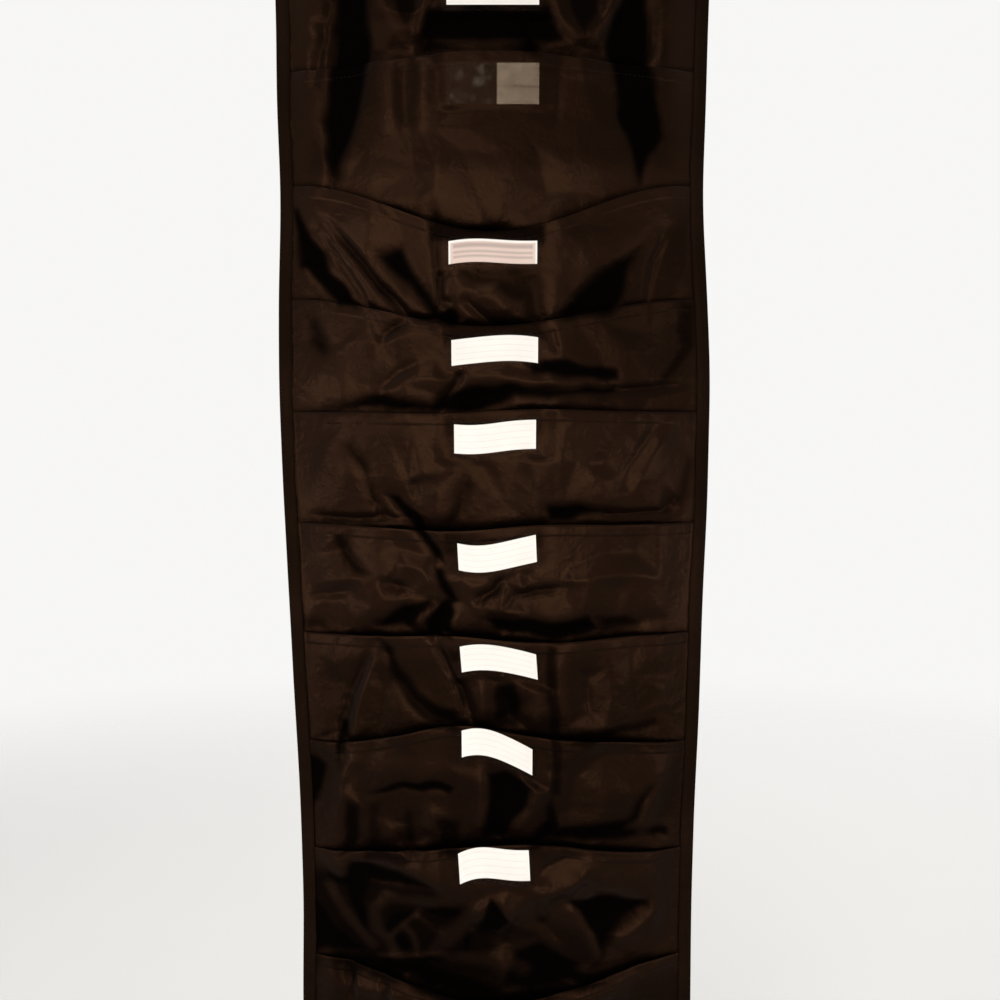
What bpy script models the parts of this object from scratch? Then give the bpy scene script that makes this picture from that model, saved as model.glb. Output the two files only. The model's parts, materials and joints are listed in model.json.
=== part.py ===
"""Hanging pocket file organizer: overlapping cloth pockets sewn to one long cloth back panel.

Metres, +Z up. +X is the viewer's right and -Y comes out of the wall towards the viewer. The origin is on
the wall plane, midway between the two hanging eyelets. "Depth" below means distance out from the wall.
"""

import math

import bmesh
import bpy
from mathutils import Matrix, Vector

# The panel and its rows of pockets
PANEL_WIDTH = 0.330
HEADER_HEIGHT = 0.080  # top edge down to the first pocket's mouth
CASING_HEIGHT = 0.045  # folded top of the panel that holds the board
CASING_SLOPE = 0.004  # where the fold comes down to the panel again
CASING_SEAM = 0.006
TOP_ROUND = 0.0012
TOP_ROUND_DEPTH = 0.0008
POCKET_COUNT = 10
POCKET_PITCH = 0.085  # one mouth down to the next
POCKET_DEPTH = 0.190  # mouth down to the bottom seam, at the sides
BOTTOM_MARGIN = 0.015

# Cloth and sewing
BACK_CLOTH = 0.0008
FRONT_CLOTH = 0.0005
BINDING_CLOTH = 0.0005
BINDING_WIDTH = 0.010
CLEARANCE = 0.0003
SEAM_SLACK = 0.00005
SEWN_MARGIN = 0.001  # a front lies flat this far before its binding starts

# How the pockets hang
POCKET_GAPE = 0.015  # room in front of one pocket front for the next
FRONT_WIDTH = 0.190  # middle of a front, between its two side folds
FOLD_DEPTH = 0.0015
FOLD_LENGTH = 0.090
FOLD_SLOPE = 0.8  # the folds run down from the mouth's corners to the middle
CALM_WIDTH = 0.090  # flat strip that the stiff label sleeve keeps free of folds
CALM_FADE = 0.025
TILT_REACH = 0.060
MOUTH_SAG = (0.009, -0.009, 0.036, 0.021, -0.001, 0.002, 0.001, -0.013, -0.012, 0.030)
MOUTH_TILT = (0.0, 0.0, 0.0, -1.5, -3.5, -5.5, 6.0, 11.0, -3.0, 0.0)  # degrees, right side down

# Label sleeves and their cards
SLEEVE_WIDTH = 0.078
SLEEVE_HEIGHT = 0.033
SLEEVE_DROP = 0.005  # mouth down to the sleeve's open top
SLEEVE_BORDER = 0.005
SLEEVE_FILM = 0.0004
CARD_WIDTH = 0.068
CARD_HEIGHT = 0.023
CARD_THICKNESS = 0.0004
EMPTY_SLEEVES = (1,)

# Header board and hanging eyelets
BOARD_THICKNESS = 0.0012
BOARD_INSET = 0.013  # panel's side to the board's end
EYELET_INSET = 0.027  # panel's side to the eyelet's axis
EYELET_DROP = 0.020
EYELET_BORE_RADIUS = 0.0040
EYELET_WALL = 0.0006
EYELET_FLANGE_RADIUS = 0.0080
EYELET_FLANGE = 0.0010
FLANGE_ROUND = 0.0008
WASHER_RADIUS = 0.0075

# Grid of each cloth sheet
SHEET_ROWS = 8
SIDE_COLUMNS = 4
EYELET_STEPS = 24

# Derived levels
TOP_Z = EYELET_DROP
FIRST_MOUTH_Z = TOP_Z - HEADER_HEIGHT
LAST_SEAM_Z = FIRST_MOUTH_Z - (POCKET_COUNT - 1) * POCKET_PITCH - POCKET_DEPTH
BOTTOM_Z = LAST_SEAM_Z - BOTTOM_MARGIN
CASING_Z = TOP_Z - CASING_HEIGHT
PANEL_BACK = BINDING_CLOTH + CLEARANCE
PANEL_FRONT = PANEL_BACK + BACK_CLOTH
SHEET_BASE = PANEL_FRONT + CLEARANCE
SEAM_STEP = FRONT_CLOTH + CLEARANCE + SEAM_SLACK
BOARD_BACK = PANEL_FRONT + CLEARANCE
CASING_INNER = BOARD_BACK + BOARD_THICKNESS + CLEARANCE
CASING_FRONT = CASING_INNER + BACK_CLOTH
STACK_FRONT = SHEET_BASE + SEAM_STEP * POCKET_DEPTH / POCKET_PITCH + FRONT_CLOTH
BINDING_INNER = max(STACK_FRONT, CASING_FRONT) + CLEARANCE
BINDING_FRONT = BINDING_INNER + BINDING_CLOTH
EDGE_X = PANEL_WIDTH / 2 - BINDING_CLOTH - CLEARANCE
SEWN_X = PANEL_WIDTH / 2 - BINDING_WIDTH - SEWN_MARGIN
FOLD_X = FRONT_WIDTH / 2
LEAN = math.atan2(POCKET_GAPE, POCKET_PITCH)
BOARD_X = PANEL_WIDTH / 2 - BOARD_INSET
EYELET_X = PANEL_WIDTH / 2 - EYELET_INSET
BARREL_RADIUS = EYELET_BORE_RADIUS + EYELET_WALL
HOLE_RADIUS = BARREL_RADIUS + CLEARANCE


def clear_scene():
    """Start from an empty scene."""
    for item in list(bpy.data.objects):
        bpy.data.objects.remove(item, do_unlink=True)


def principled(name, color, roughness, metallic=0.0, transmission=0.0):
    """Return a Principled material."""
    material = bpy.data.materials.new(name)
    material.use_nodes = True
    shader = material.node_tree.nodes["Principled BSDF"]
    shader.inputs["Base Color"].default_value = (*color, 1.0)
    shader.inputs["Roughness"].default_value = roughness
    shader.inputs["Metallic"].default_value = metallic
    shader.inputs["Transmission Weight"].default_value = transmission
    return material


def add_object(name, mesh, material, parent, matrix=None):
    """Link a mesh object under its parent, placed by a matrix in the parent's frame."""
    item = bpy.data.objects.new(name, mesh)
    bpy.context.scene.collection.objects.link(item)
    item.parent = parent
    if matrix is not None:
        item.matrix_local = matrix
    if material is not None and not mesh.materials:
        mesh.materials.append(material)
    return item


def add_empty(name, location, parent=None):
    """Add an empty that carries a moving group, set on its axis."""
    item = bpy.data.objects.new(name, None)
    bpy.context.scene.collection.objects.link(item)
    item.empty_display_size = 0.02
    item.parent = parent
    item.location = location
    return item


def finish_mesh(name, work):
    """Turn a bmesh into a mesh with outward faces."""
    bmesh.ops.recalc_face_normals(work, faces=work.faces)
    mesh = bpy.data.meshes.new(name)
    work.to_mesh(mesh)
    work.free()
    return mesh


def extruded(name, outline, direction):
    """Extrude a flat outline of points along a direction."""
    work = bmesh.new()
    face = work.faces.new([work.verts.new(point) for point in outline])
    result = bmesh.ops.extrude_face_region(work, geom=[face])
    moved = [item for item in result["geom"] if isinstance(item, bmesh.types.BMVert)]
    bmesh.ops.translate(work, verts=moved, vec=direction)
    return finish_mesh(name, work)


def block(name, low, high):
    """Make a box between two corners."""
    work = bmesh.new()
    bmesh.ops.create_cube(work, size=1.0)
    size = Vector(high) - Vector(low)
    middle = (Vector(high) + Vector(low)) / 2
    bmesh.ops.scale(work, vec=size, verts=work.verts)
    bmesh.ops.translate(work, vec=middle, verts=work.verts)
    return finish_mesh(name, work)


def turned(name, profile):
    """Spin a closed profile of (radius, depth) points about the wall's normal."""
    work = bmesh.new()
    verts = [work.verts.new((radius, -depth, 0.0)) for radius, depth in profile]
    edges = [work.edges.new((verts[i - 1], verts[i])) for i in range(len(verts))]
    bmesh.ops.spin(
        work,
        geom=verts + edges,
        cent=(0.0, 0.0, 0.0),
        axis=(0.0, 1.0, 0.0),
        angle=2 * math.pi,
        steps=EYELET_STEPS,
        use_merge=True,
    )
    bmesh.ops.remove_doubles(work, verts=work.verts, dist=0.00001)
    mesh = finish_mesh(name, work)
    mesh.shade_smooth()
    mesh.set_sharp_from_angle(angle=math.radians(35))
    return mesh


def rod(name, radius, low, high):
    """Make a cylinder through the header, along the wall's normal."""
    work = bmesh.new()
    bmesh.ops.create_cone(
        work, cap_ends=True, segments=EYELET_STEPS, radius1=radius, radius2=radius, depth=high - low
    )
    bmesh.ops.rotate(work, cent=(0, 0, 0), matrix=Matrix.Rotation(math.pi / 2, 3, "X"), verts=work.verts)
    bmesh.ops.translate(work, vec=(0.0, (low + high) / 2, 0.0), verts=work.verts)
    return finish_mesh(name, work)


def cut(target, cutter):
    """Subtract a hidden cutter from a target."""
    cutter.hide_render = True
    cutter.display_type = "WIRE"
    modifier = target.modifiers.new(cutter.name, "BOOLEAN")
    modifier.operation = "DIFFERENCE"
    modifier.solver = "EXACT"
    modifier.object = cutter


def smooth(value):
    """Ease from 0 to 1."""
    value = min(1.0, max(0.0, value))
    return value * value * (3 - 2 * value)


def fullness(x):
    """How far a front is free to bulge at x: 1 in its middle, 0 where it is sewn."""
    reach = (abs(x) - FOLD_X) / (SEWN_X - FOLD_X)
    reach = min(1.0, max(0.0, reach))
    return 0.5 + 0.5 * math.cos(math.pi * reach)


def dip(x):
    """Share of a mouth's sag at x, from its sewn ends to its middle."""
    reach = min(1.0, abs(x) / SEWN_X)
    return 0.5 + 0.5 * math.cos(math.pi * reach)


def fold(x, z):
    """Height of the slanting folds, the same for every layer so that layers nest."""
    calm = smooth((abs(x) - CALM_WIDTH / 2) / CALM_FADE)
    phase = (FOLD_SLOPE * abs(x) - z) / math.hypot(FOLD_SLOPE, 1.0)
    return FOLD_DEPTH * calm * math.sin(2 * math.pi * phase / FOLD_LENGTH)


def seam_z(index):
    """Height of a pocket's bottom seam."""
    return FIRST_MOUTH_Z - index * POCKET_PITCH - POCKET_DEPTH


def sag(index):
    """How far the middle of a mouth hangs below its sewn ends."""
    return MOUTH_SAG[index % len(MOUTH_SAG)]


def tilt(index):
    """Angle of a mouth's middle, in radians, right side down."""
    return math.radians(MOUTH_TILT[index % len(MOUTH_TILT)])


def mouth_height(index, x):
    """Height of a mouth above its own bottom seam."""
    drop = sag(index) * dip(x)
    slant = math.tan(tilt(index)) * x * math.exp(-((x / TILT_REACH) ** 2))
    return POCKET_DEPTH - drop - slant


def sheet_point(index, x, v):
    """Back surface of a pocket front, at x and a fraction v of the way up."""
    h = v * mouth_height(index, x)
    full = fullness(x)
    z = seam_z(index) + h
    layer = SEAM_STEP + (POCKET_GAPE - SEAM_STEP) * full
    depth = SHEET_BASE + layer * h / POCKET_PITCH
    depth += fold(x, z) * full * smooth(h / POCKET_PITCH)
    return Vector((x, -depth, z))


def sheet(name, index, stations, material, parent, origin):
    """Build one piece of a pocket front between given x stations, thickened towards the viewer."""
    work = bmesh.new()
    rows = []
    for row in range(SHEET_ROWS + 1):
        v = row / SHEET_ROWS
        rows.append([work.verts.new(sheet_point(index, x, v) - origin) for x in stations])
    for low, high in zip(rows, rows[1:]):
        for i in range(len(stations) - 1):
            work.faces.new((low[i], low[i + 1], high[i + 1], high[i]))
    mesh = bpy.data.meshes.new(name)
    work.to_mesh(mesh)
    work.free()
    mesh.shade_smooth()
    item = add_object(name, mesh, material, parent)
    thicken = item.modifiers.new("cloth", "SOLIDIFY")
    thicken.thickness = FRONT_CLOTH
    thicken.offset = 1.0
    thicken.use_even_offset = True
    return item


def middle_stations():
    """X stations across the middle of a front, close where it folds and wide where it is calm."""
    calm = min(CALM_WIDTH / 2, FOLD_X * 0.6)
    outer = [calm + (FOLD_X - calm) * i / 3 for i in range(4)]
    half = [0.0, calm / 2] + outer
    return [-x for x in reversed(half[1:])] + half


def side_stations(side):
    """X stations of one side of a front, from its fold out into the binding."""
    start = FOLD_X + CLEARANCE
    inner = [start + (SEWN_X - start) * i / SIDE_COLUMNS for i in range(SIDE_COLUMNS + 1)]
    stations = [side * x for x in inner + [EDGE_X]]
    return sorted(stations)


def sleeve_mesh():
    """Clear sleeve: a film held off the cloth by a border on three sides, open at the top."""
    work = bmesh.new()
    a = SLEEVE_WIDTH / 2
    b = a - SLEEVE_BORDER
    top = -SLEEVE_DROP
    low = top - SLEEVE_HEIGHT
    floor = low + SLEEVE_BORDER
    back = -CLEARANCE
    inner = back - 2 * CLEARANCE - CARD_THICKNESS
    rim = [(-a, low), (a, low), (a, top), (b, top), (b, floor), (-b, floor), (-b, top), (-a, top)]
    near = [work.verts.new((x, back, z)) for x, z in rim]
    far = [work.verts.new((x, inner, z)) for x, z in rim]
    work.faces.new(near)
    for i in range(len(rim)):
        work.faces.new((near[i - 1], near[i], far[i], far[i - 1]))
    work.faces.new((far[3], far[4], far[5], far[6]))
    corners = (far[7], far[0], far[1], far[2])
    face = [work.verts.new((v.co.x, inner - SLEEVE_FILM, v.co.z)) for v in corners]
    work.faces.new(face)
    for i in range(3):
        work.faces.new((corners[i], corners[i + 1], face[i + 1], face[i]))
    work.faces.new((far[2], far[3], far[6], far[7], face[0], face[3]))
    return finish_mesh("label_sleeve", work)


def build_panel(root, cloth):
    """Back panel with its folded header casing, open at both ends for the board."""
    profile = [
        (PANEL_BACK, BOTTOM_Z),
        (PANEL_FRONT, BOTTOM_Z),
        (PANEL_FRONT, CASING_Z),
        (CASING_FRONT, CASING_Z + CASING_SLOPE),
        (CASING_FRONT, TOP_Z - TOP_ROUND),
        (CASING_FRONT - TOP_ROUND_DEPTH, TOP_Z),
        (PANEL_BACK + TOP_ROUND_DEPTH, TOP_Z),
        (PANEL_BACK, TOP_Z - TOP_ROUND),
    ]
    outline = [(-EDGE_X, -depth, z) for depth, z in profile]
    mesh = extruded("back_panel", outline, (2 * EDGE_X, 0.0, 0.0))
    panel = add_object("back_panel", mesh, cloth, root)
    low = (-PANEL_WIDTH, -CASING_INNER, CASING_Z + CASING_SEAM)
    high = (PANEL_WIDTH, -PANEL_FRONT, TOP_Z - 2 * BACK_CLOTH)
    cut(panel, add_object("casing_cutter", block("casing_cutter", low, high), None, root))
    return panel


def build_board(root, board):
    """Stiff board inside the header casing."""
    low = (-BOARD_X, -BOARD_BACK - BOARD_THICKNESS, CASING_Z + CASING_SEAM + CLEARANCE)
    high = (BOARD_X, -BOARD_BACK, TOP_Z - 2 * BACK_CLOTH - CLEARANCE)
    return add_object("header_board", block("header_board", low, high), board, root)


def build_bindings(root, cloth):
    """Folded tapes over both side edges and the bottom edge."""
    outer = PANEL_WIDTH / 2
    inner = outer - BINDING_WIDTH
    wall = outer - BINDING_CLOTH
    low = BOTTOM_Z - CLEARANCE - BINDING_CLOTH
    section = [
        (inner, 0.0),
        (outer, 0.0),
        (outer, BINDING_FRONT),
        (inner, BINDING_FRONT),
        (inner, BINDING_INNER),
        (wall, BINDING_INNER),
        (wall, BINDING_CLOTH),
        (inner, BINDING_CLOTH),
    ]
    for side, name in ((-1, "side_binding_left"), (1, "side_binding_right")):
        outline = [(side * x, -depth, low) for x, depth in section]
        mesh = extruded(name, outline, (0.0, 0.0, TOP_Z - low))
        add_object(name, mesh, cloth, root)
    reach = inner - CLEARANCE
    top = BOTTOM_Z + BINDING_WIDTH
    front = SHEET_BASE + BINDING_CLOTH
    section = [
        (0.0, top),
        (0.0, low),
        (front, low),
        (front, top),
        (SHEET_BASE, top),
        (SHEET_BASE, low + BINDING_CLOTH),
        (BINDING_CLOTH, low + BINDING_CLOTH),
        (BINDING_CLOTH, top),
    ]
    outline = [(-reach, -depth, z) for depth, z in section]
    mesh = extruded("bottom_binding", outline, (2 * reach, 0.0, 0.0))
    add_object("bottom_binding", mesh, cloth, root)


def build_eyelets(root, metal, panel, board):
    """Two flanged eyelets through the header, each with a washer against its back."""
    seat = CASING_FRONT + CLEARANCE
    barrel = [
        (EYELET_BORE_RADIUS, 0.0),
        (BARREL_RADIUS, 0.0),
        (BARREL_RADIUS, seat),
        (EYELET_FLANGE_RADIUS, seat),
        (EYELET_FLANGE_RADIUS, seat + EYELET_FLANGE * 0.4),
        (EYELET_FLANGE_RADIUS - FLANGE_ROUND, seat + EYELET_FLANGE * 0.9),
        (BARREL_RADIUS + FLANGE_ROUND, seat + EYELET_FLANGE),
        (EYELET_BORE_RADIUS, seat + EYELET_FLANGE * 0.5),
    ]
    ring = [
        (HOLE_RADIUS, 0.0),
        (WASHER_RADIUS, 0.0),
        (WASHER_RADIUS, BINDING_CLOTH),
        (HOLE_RADIUS, BINDING_CLOTH),
    ]
    eyelet = turned("eyelet", barrel)
    washer = turned("eyelet_washer", ring)
    for side, word in ((-1, "left"), (1, "right")):
        place = Matrix.Translation((side * EYELET_X, 0.0, 0.0))
        add_object("eyelet_" + word, eyelet, metal, root, place)
        add_object("eyelet_washer_" + word, washer, metal, root, place)
        mesh = rod("eyelet_cutter_" + word, HOLE_RADIUS, -PANEL_WIDTH / 10, PANEL_WIDTH / 10)
        cutter = add_object("eyelet_cutter_" + word, mesh, None, root, place)
        cut(panel, cutter)
        cut(board, cutter)


def build_pocket(index, root, cloth, film, paper, sleeve):
    """One pocket front with its sewn sides, label sleeve and card."""
    tag = f"{index + 1:02d}"
    axis = Vector((0.0, -SHEET_BASE, seam_z(index)))
    hinge = add_empty("pocket_hinge_" + tag, axis, root)
    sheet("pocket_front_" + tag, index, middle_stations(), cloth, hinge, axis)
    for side, word in ((-1, "left"), (1, "right")):
        name = f"pocket_side_{word}_{tag}"
        sheet(name, index, side_stations(side), cloth, root, Vector((0.0, 0.0, 0.0)))

    # The label's frame lies on the front face of the cloth, at the middle of the mouth
    lean = Matrix.Rotation(LEAN, 4, "X")
    up = mouth_height(index, 0.0) / math.cos(LEAN)
    face = Matrix.Translation((0.0, -FRONT_CLOTH, up))
    label = lean @ face @ Matrix.Rotation(tilt(index), 4, "Y")
    add_object("label_sleeve_" + tag, sleeve, film, hinge, label)
    if index in EMPTY_SLEEVES:
        return
    floor = SLEEVE_BORDER - SLEEVE_DROP - SLEEVE_HEIGHT + CLEARANCE
    back = -2 * CLEARANCE
    low = (-CARD_WIDTH / 2, back - CARD_THICKNESS, 0.0)
    high = (CARD_WIDTH / 2, back, CARD_HEIGHT)
    mesh = block("label_card_" + tag, low, high)
    add_object("label_card_" + tag, mesh, paper, hinge, label @ Matrix.Translation((0.0, 0.0, floor)))


def main():
    """Build the organizer."""
    clear_scene()
    cloth = principled("black_cloth", (0.012, 0.011, 0.011), 0.42)
    tape = principled("black_tape", (0.015, 0.014, 0.014), 0.5)
    film = principled("clear_vinyl", (0.9, 0.9, 0.9), 0.12, transmission=0.95)
    paper = principled("white_card", (0.86, 0.86, 0.84), 0.7)
    board = principled("grey_board", (0.2, 0.2, 0.2), 0.6)
    metal = principled("nickel", (0.62, 0.6, 0.57), 0.3, metallic=1.0)

    root = add_empty("organizer", (0.0, 0.0, 0.0))
    panel = build_panel(root, cloth)
    stiffener = build_board(root, board)
    build_bindings(root, tape)
    build_eyelets(root, metal, panel, stiffener)
    sleeve = sleeve_mesh()
    for index in range(POCKET_COUNT):
        build_pocket(index, root, cloth, film, paper, sleeve)


main()
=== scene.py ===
"""Looks of a hanging pocket file organizer: satin cloth pockets, clear label sleeves and ruled cards.

Metres, +Z up. -Y comes out of the wall towards the viewer, and "depth" below is the distance out from the
wall. The origin is on the wall, midway between the two hanging eyelets.
"""

from __future__ import annotations

import json
import logging
import math
from dataclasses import dataclass
from enum import Enum
from functools import partialmethod
from typing import Any, Iterable

import bmesh
import bpy
import numpy as np
from mathutils import Matrix, Vector
from mathutils.geometry import delaunay_2d_cdt

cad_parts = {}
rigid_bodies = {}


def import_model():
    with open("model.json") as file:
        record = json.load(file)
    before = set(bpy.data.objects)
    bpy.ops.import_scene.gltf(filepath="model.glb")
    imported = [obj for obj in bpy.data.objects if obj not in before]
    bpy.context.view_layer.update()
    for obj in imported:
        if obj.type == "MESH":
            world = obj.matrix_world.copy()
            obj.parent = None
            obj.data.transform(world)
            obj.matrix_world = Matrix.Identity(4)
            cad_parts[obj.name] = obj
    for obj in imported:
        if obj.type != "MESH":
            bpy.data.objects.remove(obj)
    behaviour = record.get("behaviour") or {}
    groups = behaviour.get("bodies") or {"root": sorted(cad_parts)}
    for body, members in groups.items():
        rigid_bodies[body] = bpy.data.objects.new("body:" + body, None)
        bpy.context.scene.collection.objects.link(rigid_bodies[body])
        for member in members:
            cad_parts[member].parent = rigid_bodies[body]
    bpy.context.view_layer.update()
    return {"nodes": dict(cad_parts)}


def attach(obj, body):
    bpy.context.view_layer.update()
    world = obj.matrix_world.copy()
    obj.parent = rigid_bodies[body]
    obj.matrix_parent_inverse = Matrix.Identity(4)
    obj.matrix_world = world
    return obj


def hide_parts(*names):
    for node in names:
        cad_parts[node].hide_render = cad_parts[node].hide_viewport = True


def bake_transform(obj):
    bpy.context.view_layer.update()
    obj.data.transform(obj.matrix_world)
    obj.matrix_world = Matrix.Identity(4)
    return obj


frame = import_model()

LOG = logging.getLogger("organizer")
MM = 0.001
Array = np.ndarray
Point = tuple[float, float, float]
Spot = tuple[float, float]


def smooth(value: Array | float) -> Array:
    """Ease from 0 to 1 between 0 and 1."""
    value = np.clip(value, 0.0, 1.0)
    return value * value * (3.0 - 2.0 * value)


class Sock:
    """One output socket of a node, on which Python's operators add Math nodes."""

    def __init__(self, book: NodeBook, socket: bpy.types.NodeSocket) -> None:
        """Keep the socket and the tree that it belongs to."""
        self.book = book
        self.socket = socket

    def math(self, operation: str, *values: Sock | float) -> Sock:
        """Add a Math node with this value first."""
        return self.book.add("ShaderNodeMath", {"operation": operation}, dict(enumerate((self, *values))))

    def reflected(self, operation: str, value: float) -> Sock:
        """Add a Math node with a plain number first and this value second."""
        return self.book.add("ShaderNodeMath", {"operation": operation}, {0: value, 1: self})

    __add__ = __radd__ = partialmethod(math, "ADD")
    __sub__ = partialmethod(math, "SUBTRACT")
    __rsub__ = partialmethod(reflected, "SUBTRACT")
    __mul__ = __rmul__ = partialmethod(math, "MULTIPLY")
    __pow__ = partialmethod(math, "POWER")
    __abs__ = partialmethod(math, "ABSOLUTE")
    sine = partialmethod(math, "SINE")

    def ease(self, low: float, high: float, start: float = 0.0, end: float = 1.0) -> Sock:
        """Map low to high smoothly onto start to end, held at both ends."""
        sockets = {"Value": self, "From Min": low, "From Max": high, "To Min": start, "To Max": end}
        return self.book.add("ShaderNodeMapRange", {"interpolation_type": "SMOOTHSTEP"}, sockets)


class NodeBook:
    """A node tree that is written node by node."""

    def __init__(self, tree: bpy.types.NodeTree) -> None:
        """Take a tree and clear it."""
        self.tree = tree
        tree.nodes.clear()

    def add(self, kind: str, settings: dict[str, Any], sockets: dict[Any, Any], out: str | int = 0) -> Sock:
        """Add one node, its settings first and then its sockets.

        Args:
            kind: The node's type.
            settings: Properties to set.
            sockets: Values or links by the inputs' names or numbers. A colour is given without alpha.
            out: The output to return.

        Returns:
            The chosen output, or the first input of a node that has no output.
        """
        node = self.tree.nodes.new(kind)
        for name, value in settings.items():
            setattr(node, name, value)
        for name, value in sockets.items():
            plug = node.inputs[name]
            if isinstance(value, Sock):
                self.tree.links.new(value.socket, plug)
            else:
                plug.default_value = (*value, 1.0) if plug.type == "RGBA" else value
        return Sock(self, node.outputs[out] if node.outputs else node.inputs[0])

    def outputs(self, kind: str, sockets: dict[Any, Any], *names: str | int) -> list[Sock]:
        """Add one node and return several of its outputs."""
        ports = self.add(kind, {}, sockets).socket.node.outputs
        return [Sock(self, ports[name]) for name in names]

    def axes(self, vector: Sock) -> list[Sock]:
        """Split a vector into its three values."""
        return self.outputs("ShaderNodeSeparateXYZ", {0: vector}, 0, 1, 2)

    def noise(self, vector: Sock, scale: float, detail: float = 3.0, rough: float = 0.5) -> Sock:
        """Noise from 0 to 1."""
        sockets = {"Vector": vector, "Scale": scale, "Detail": detail, "Roughness": rough}
        return self.add("ShaderNodeTexNoise", {}, sockets, "Fac")

    def streaks(self, vector: Sock, scale: Point, detail: float) -> Sock:
        """Noise that is stretched by its own scale along each axis."""
        stretched = self.add("ShaderNodeMapping", {}, {"Vector": vector, "Scale": scale})
        return self.noise(stretched, 1.0, detail)

    def mix(self, factor: Sock | float, first: Any, second: Any) -> Sock:
        """Mix two colours."""
        return self.add("ShaderNodeMix", {"data_type": "RGBA"}, {0: factor, 6: first, 7: second}, 2)

    def blend(self, factor: Sock, first: Sock, second: Sock) -> Sock:
        """Mix two shaders."""
        return self.add("ShaderNodeMixShader", {}, {0: factor, 1: first, 2: second})

    def clear(self) -> Sock:
        """Shader that lets all light through."""
        return self.add("ShaderNodeBsdfTransparent", {}, {})

    def bump(self, height: Sock, distance: float, strength: float, **under: Sock) -> Sock:
        """Bump normal from a height, over another Normal where given."""
        sockets = {"Height": height, "Distance": distance, "Strength": strength, **under}
        return self.add("ShaderNodeBump", {}, sockets)

    def principled(self, **values: Any) -> Sock:
        """Principled shader, its inputs named with _ for spaces."""
        sockets = {name.replace("_", " "): value for name, value in values.items()}
        return self.add("ShaderNodeBsdfPrincipled", {}, sockets)


@dataclass(frozen=True)
class Finish:
    """One surface finish, whose kind lays out the shader."""

    name: str

    def shader(self, book: NodeBook, place: Sock) -> Sock:
        """Lay out the shader over Object coordinates."""
        raise NotImplementedError

    def make(self) -> bpy.types.Material:
        """Build the material.

        Returns:
            The material, ready for a mesh.
        """
        material = bpy.data.materials.new(self.name)
        material.use_nodes = True
        book = NodeBook(material.node_tree)
        place = book.add("ShaderNodeTexCoord", {}, {}, "Object")
        book.add("ShaderNodeOutputMaterial", {}, {"Surface": self.shader(book, place)})
        return material


@dataclass(frozen=True)
class SatinCloth(Finish):
    """Thin black satin-woven nylon with a warm sheen, creased all over."""

    dark: Point = (0.0030, 0.0014, 0.0009)
    light: Point = (0.0070, 0.0034, 0.0021)
    # Colour of the painted shade in folds and hollows and behind the next mouth
    painted_shade: Point = (0.0006, 0.0003, 0.0002)
    sheen_tint: Point = (1.0, 0.47, 0.25)
    gloss: float = 0.108
    smoothest: float = 0.31
    roughest: float = 0.38
    thread_pitch: float = 0.0006
    weave_height: float = 0.00004
    crumple: float = 0.0006
    cloud_scale: float = 14.0
    grain_scale: float = 420.0
    crease_scale: float = 55.0
    dimple_scale: float = 120.0

    def shader(self, book: NodeBook, place: Sock) -> Sock:
        """Weave over small creases, with painted shade: black where the cloth's painted shade attribute is
        high.

        Args:
            book: The material's nodes.
            place: Object coordinates.

        Returns:
            The shader.
        """
        x, _, z = book.axes(place)
        turn = 2.0 * math.pi / self.thread_pitch
        weave = (x * turn).sine() * (z * turn).sine() * 0.5 + 0.5
        cloud = book.noise(place, self.cloud_scale, 4.0)
        grain = book.noise(place, self.grain_scale, 2.0)
        shade = cloud.ease(0.3, 0.7) * 0.75 + grain * 0.25
        # Painted shade: the cloth's point attribute darkens the base colour towards the painted shade colour
        hollow_and_painted_shade = book.add("ShaderNodeAttribute", {"attribute_name": "hollow_and_painted_shade"}, {}, "Fac")
        creases = abs(book.noise(place, self.crease_scale, 3.0, 0.55) * 2.0 - 1.0)
        dimples = book.noise(place, self.dimple_scale, 2.0)
        normal = book.bump(creases.ease(0.0, 0.5) + dimples * 0.3, self.crumple, 0.45)
        satin = book.principled(
            Base_Color=book.mix(hollow_and_painted_shade, book.mix(shade, self.dark, self.light), self.painted_shade),
            Roughness=cloud.ease(0.25, 0.75, self.roughest, self.smoothest) + (grain - 0.5) * 0.06,
            Normal=book.bump(weave, self.weave_height, 0.35, Normal=normal),
            Specular_IOR_Level=self.gloss,
            Specular_Tint=self.sheen_tint,
            Sheen_Weight=0.01,
            Sheen_Roughness=0.4,
            Sheen_Tint=self.sheen_tint,
        )
        # Unlit black shader, blended in by the painted shade attribute
        unlit = book.principled(Base_Color=self.painted_shade, Roughness=0.9, Specular_IOR_Level=0.01)
        return book.blend(hollow_and_painted_shade * 0.98, satin, unlit)


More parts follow.
